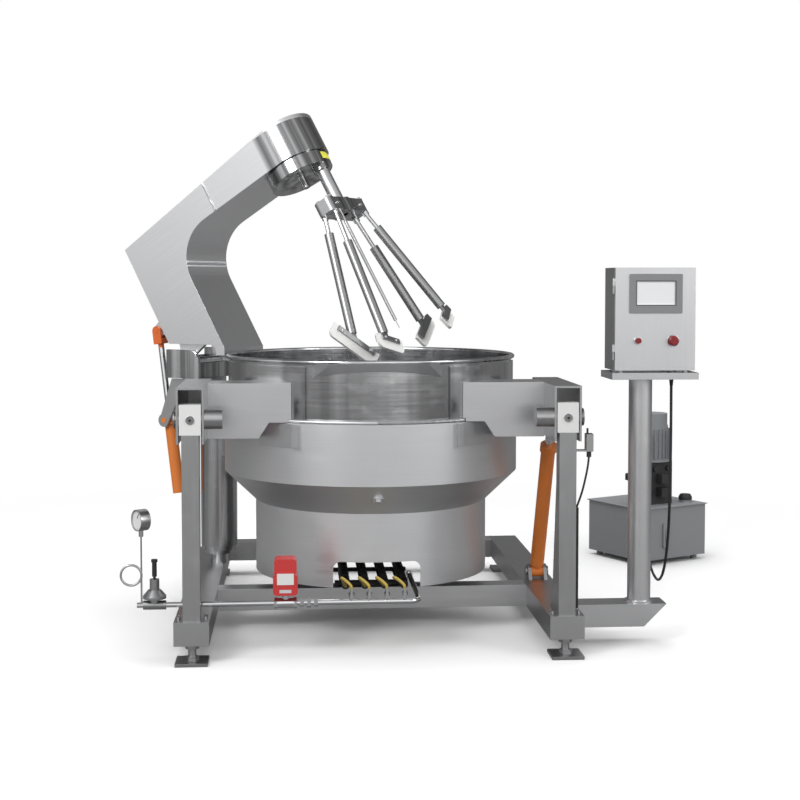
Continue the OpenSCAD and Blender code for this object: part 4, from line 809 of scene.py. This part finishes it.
# %% Nuts on the hub, and the buttons' collars
HUB_SIDE, SCREW_Y = 42, 96  # the hub's long sides, and the clamp screws along them
up = np.diff(on_arm([(0, 0, 0), (0, 0, 1)]), axis=0)[0]
side_way = np.diff(on_arm([(0, 0, 0), (1, 0, 0)]), axis=0)[0]
nuts = [part for x, y, *_ in LEGS.values()
        for part in hexagon(on_arm([(HUB_X + x, y, HUB_Z + HUB_H / 2)])[0], up, 0.013, 0.011)]
for end in (-1, 1):
    for y in (-SCREW_Y, SCREW_Y):
        nuts += socket_head(on_arm([(HUB_X + end * HUB_SIDE, y, HUB_Z)])[0], end * side_way,
                            size=0.009, height=0.006)
piece("hub_nuts", nuts, chrome, "tool")

stop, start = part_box("emergency_stop"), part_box("start_button")
DOOR_Y = stop[1].y - 0.005  # the stop button reaches 5 mm behind the door's face
BORE_R = 0.0085


def collar(button, outer, depth):
    """A flat ring round a button's box: out from the door, over the rim, to its bore."""
    low, high = button
    centre = ((low.x + high.x) / 2, DOOR_Y, (low.z + high.z) / 2)
    return turned(centre, (0, -1, 0), [(0, outer), (depth * 0.6, outer),
                                       (depth, outer - 0.001), (depth, BORE_R)], 48)


piece("button_collars", [collar(stop, outer=0.0235, depth=0.0035),
                         collar(start, outer=0.0145, depth=0.004)],
      chrome, "cabinet_door")

# %% [markdown]
# ## Floor and light
# A plain pale floor keeps the object's shadow. Seen by the camera it is almost white, and
# it fades into the white background away from the machine, so that no horizon shows.
# To the steel it is a darker floor, which keeps the undersides dark.

# %% Floor
FLOOR_HALF, FLOOR_Z = 30, -0.0006  # a hair below the feet
FADE_CENTRE, FADE = (0, 0.3, 0), (1.9, 3.8)  # metres out to where it starts and ends


def floor_finish():
    """Pale to the camera, darker to all else, and white far from the machine."""
    r = Recipe("pale_floor")
    seen = r.node("ShaderNodeLightPath", out="Is Camera Ray")
    x, y, _ = r.axes(r.place(centre=FADE_CENTRE))
    far = r.node("ShaderNodeMath", {"operation": "SQRT"}, {0: x * x + y * y})
    fade = r.ramp(far, 0.0, 1.0, *FADE)
    grain = r.noise(r.place(), 60.0, 3.0)
    dark = r.blend(r.ramp(grain, 0.0, 1.0), (0.19, 0.19, 0.19, 1), (0.22, 0.22, 0.22, 1))
    r.finish(Base_Color=r.blend(seen, dark, (0.93, 0.93, 0.93, 1)), Roughness=0.85)
    white = r.node("ShaderNodeEmission", None, {"Color": (1, 1, 1, 1), "Strength": 1.0})
    plain = Wire(r, r.shader.outputs[0])
    mixed = r.node("ShaderNodeMixShader", None, {0: fade * seen, 1: plain, 2: white})
    r.put(r.tree.nodes["Material Output"].inputs["Surface"], mixed)
    return r.material


u, v = np.meshgrid((-FLOOR_HALF, FLOOR_HALF), (-FLOOR_HALF, FLOOR_HALF))
floor_points = np.stack([u, v, u * 0 + FLOOR_Z], axis=-1).reshape(-1, 3)
floor_mesh = bpy.data.meshes.new("floor")
floor_mesh.from_pydata(floor_points.tolist(), [], [[0, 1, 3, 2]])
floor_mesh.materials.append(floor_finish())
floor = bpy.data.objects.new("floor", floor_mesh)
bpy.context.scene.collection.objects.link(floor)
print("floor", 2 * FLOOR_HALF, "m wide, white from", FADE[1], "m out")

# %% [markdown]
# The world is white to the camera. Bare metal shows what stands round it, so the world
# that the steel reflects has the soft light and dark stripes of a studio: noise round the
# horizon, which a polished wall shows as streaks and a brushed wall as broad shading.

# %% World
SKY = 0.75  # how much the world lights what isn't mirrored


def studio_world():
    """White to the camera, stripes to bare metal, and even light to the rest."""
    world = bpy.data.worlds.new("studio")
    bpy.context.scene.world = world
    world.use_nodes = True
    r = Recipe("world_recipe")
    bpy.data.materials.remove(r.material)
    r.tree = world.node_tree
    r.tree.nodes.clear()
    camera_ray = r.node("ShaderNodeLightPath", out="Is Camera Ray")
    through = r.node("ShaderNodeLightPath", out="Is Transmission Ray")
    glossy = r.node("ShaderNodeLightPath", out="Is Glossy Ray")
    way = r.node("ShaderNodeTexCoord", out="Generated")
    upright = r.noise(r.moved(way, Scale=(1, 1, 0.12)), 2.3, 3.0, 0.6)
    stripes = r.ramp(upright, low=0.62, high=1.12, start=0.36, end=0.60)
    _, y, z = r.axes(way)
    front_to_back = r.ramp(y, low=1.32, high=0.24, start=-0.8, end=0.35)
    wall_to_ceiling = r.ramp(z, low=1.0, high=0.52, start=0.25, end=0.75)
    mirrored = stripes * front_to_back * wall_to_ceiling
    level = SKY * (1 - glossy) + mirrored * glossy
    shown = (camera_ray + through) > 0.5
    level = level * (1 - shown) + shown
    background = r.node("ShaderNodeBackground", None, {"Color": (1, 1, 1, 1),
                                                       "Strength": level})
    out = r.tree.nodes.new("ShaderNodeOutputWorld")
    r.put(out.inputs["Surface"], background)


studio_world()
print("world", bpy.context.scene.world.name, "lights with", SKY)

# %% [markdown]
# Three large, soft lamps model the forms: a key from the upper left, a weaker fill from
# the right, and one overhead, which the metal doesn't show, because a flat plate that
# mirrored it would be as white as the background.

# %% Lamps
def soft_lamp(name, where, aim, size, power, seen_in_metal=True):
    """A rectangular lamp of that size and power, turned towards its aim."""
    data = bpy.data.lights.new(name, "AREA")
    data.shape, data.size, data.size_y, data.energy = "RECTANGLE", *size, power
    made = bpy.data.objects.new(name, data)
    made.location = where
    toward = np.array(aim, float) - where
    made.rotation_euler = (math.atan2(math.hypot(toward[0], toward[1]), -toward[2]), 0,
                           math.atan2(toward[1], toward[0]) - math.pi / 2)
    made.visible_glossy = seen_in_metal
    bpy.context.scene.collection.objects.link(made)
    print("lamp", name, power, "W, seen in metal:", seen_in_metal)


soft_lamp("key", (-3.4, -4.2, 4.4), (0, 0, 1.0), (2.4, 2.4), 170)
soft_lamp("fill", (4.4, -3.4, 3.0), (0.2, 0, 0.9), (1.6, 2.8), 60)
soft_lamp("top", (0.2, 0.6, 4.8), (0.2, 0.2, 0), (3.2, 3.2), 110, seen_in_metal=False)

# %% The end
bpy.context.view_layer.update()
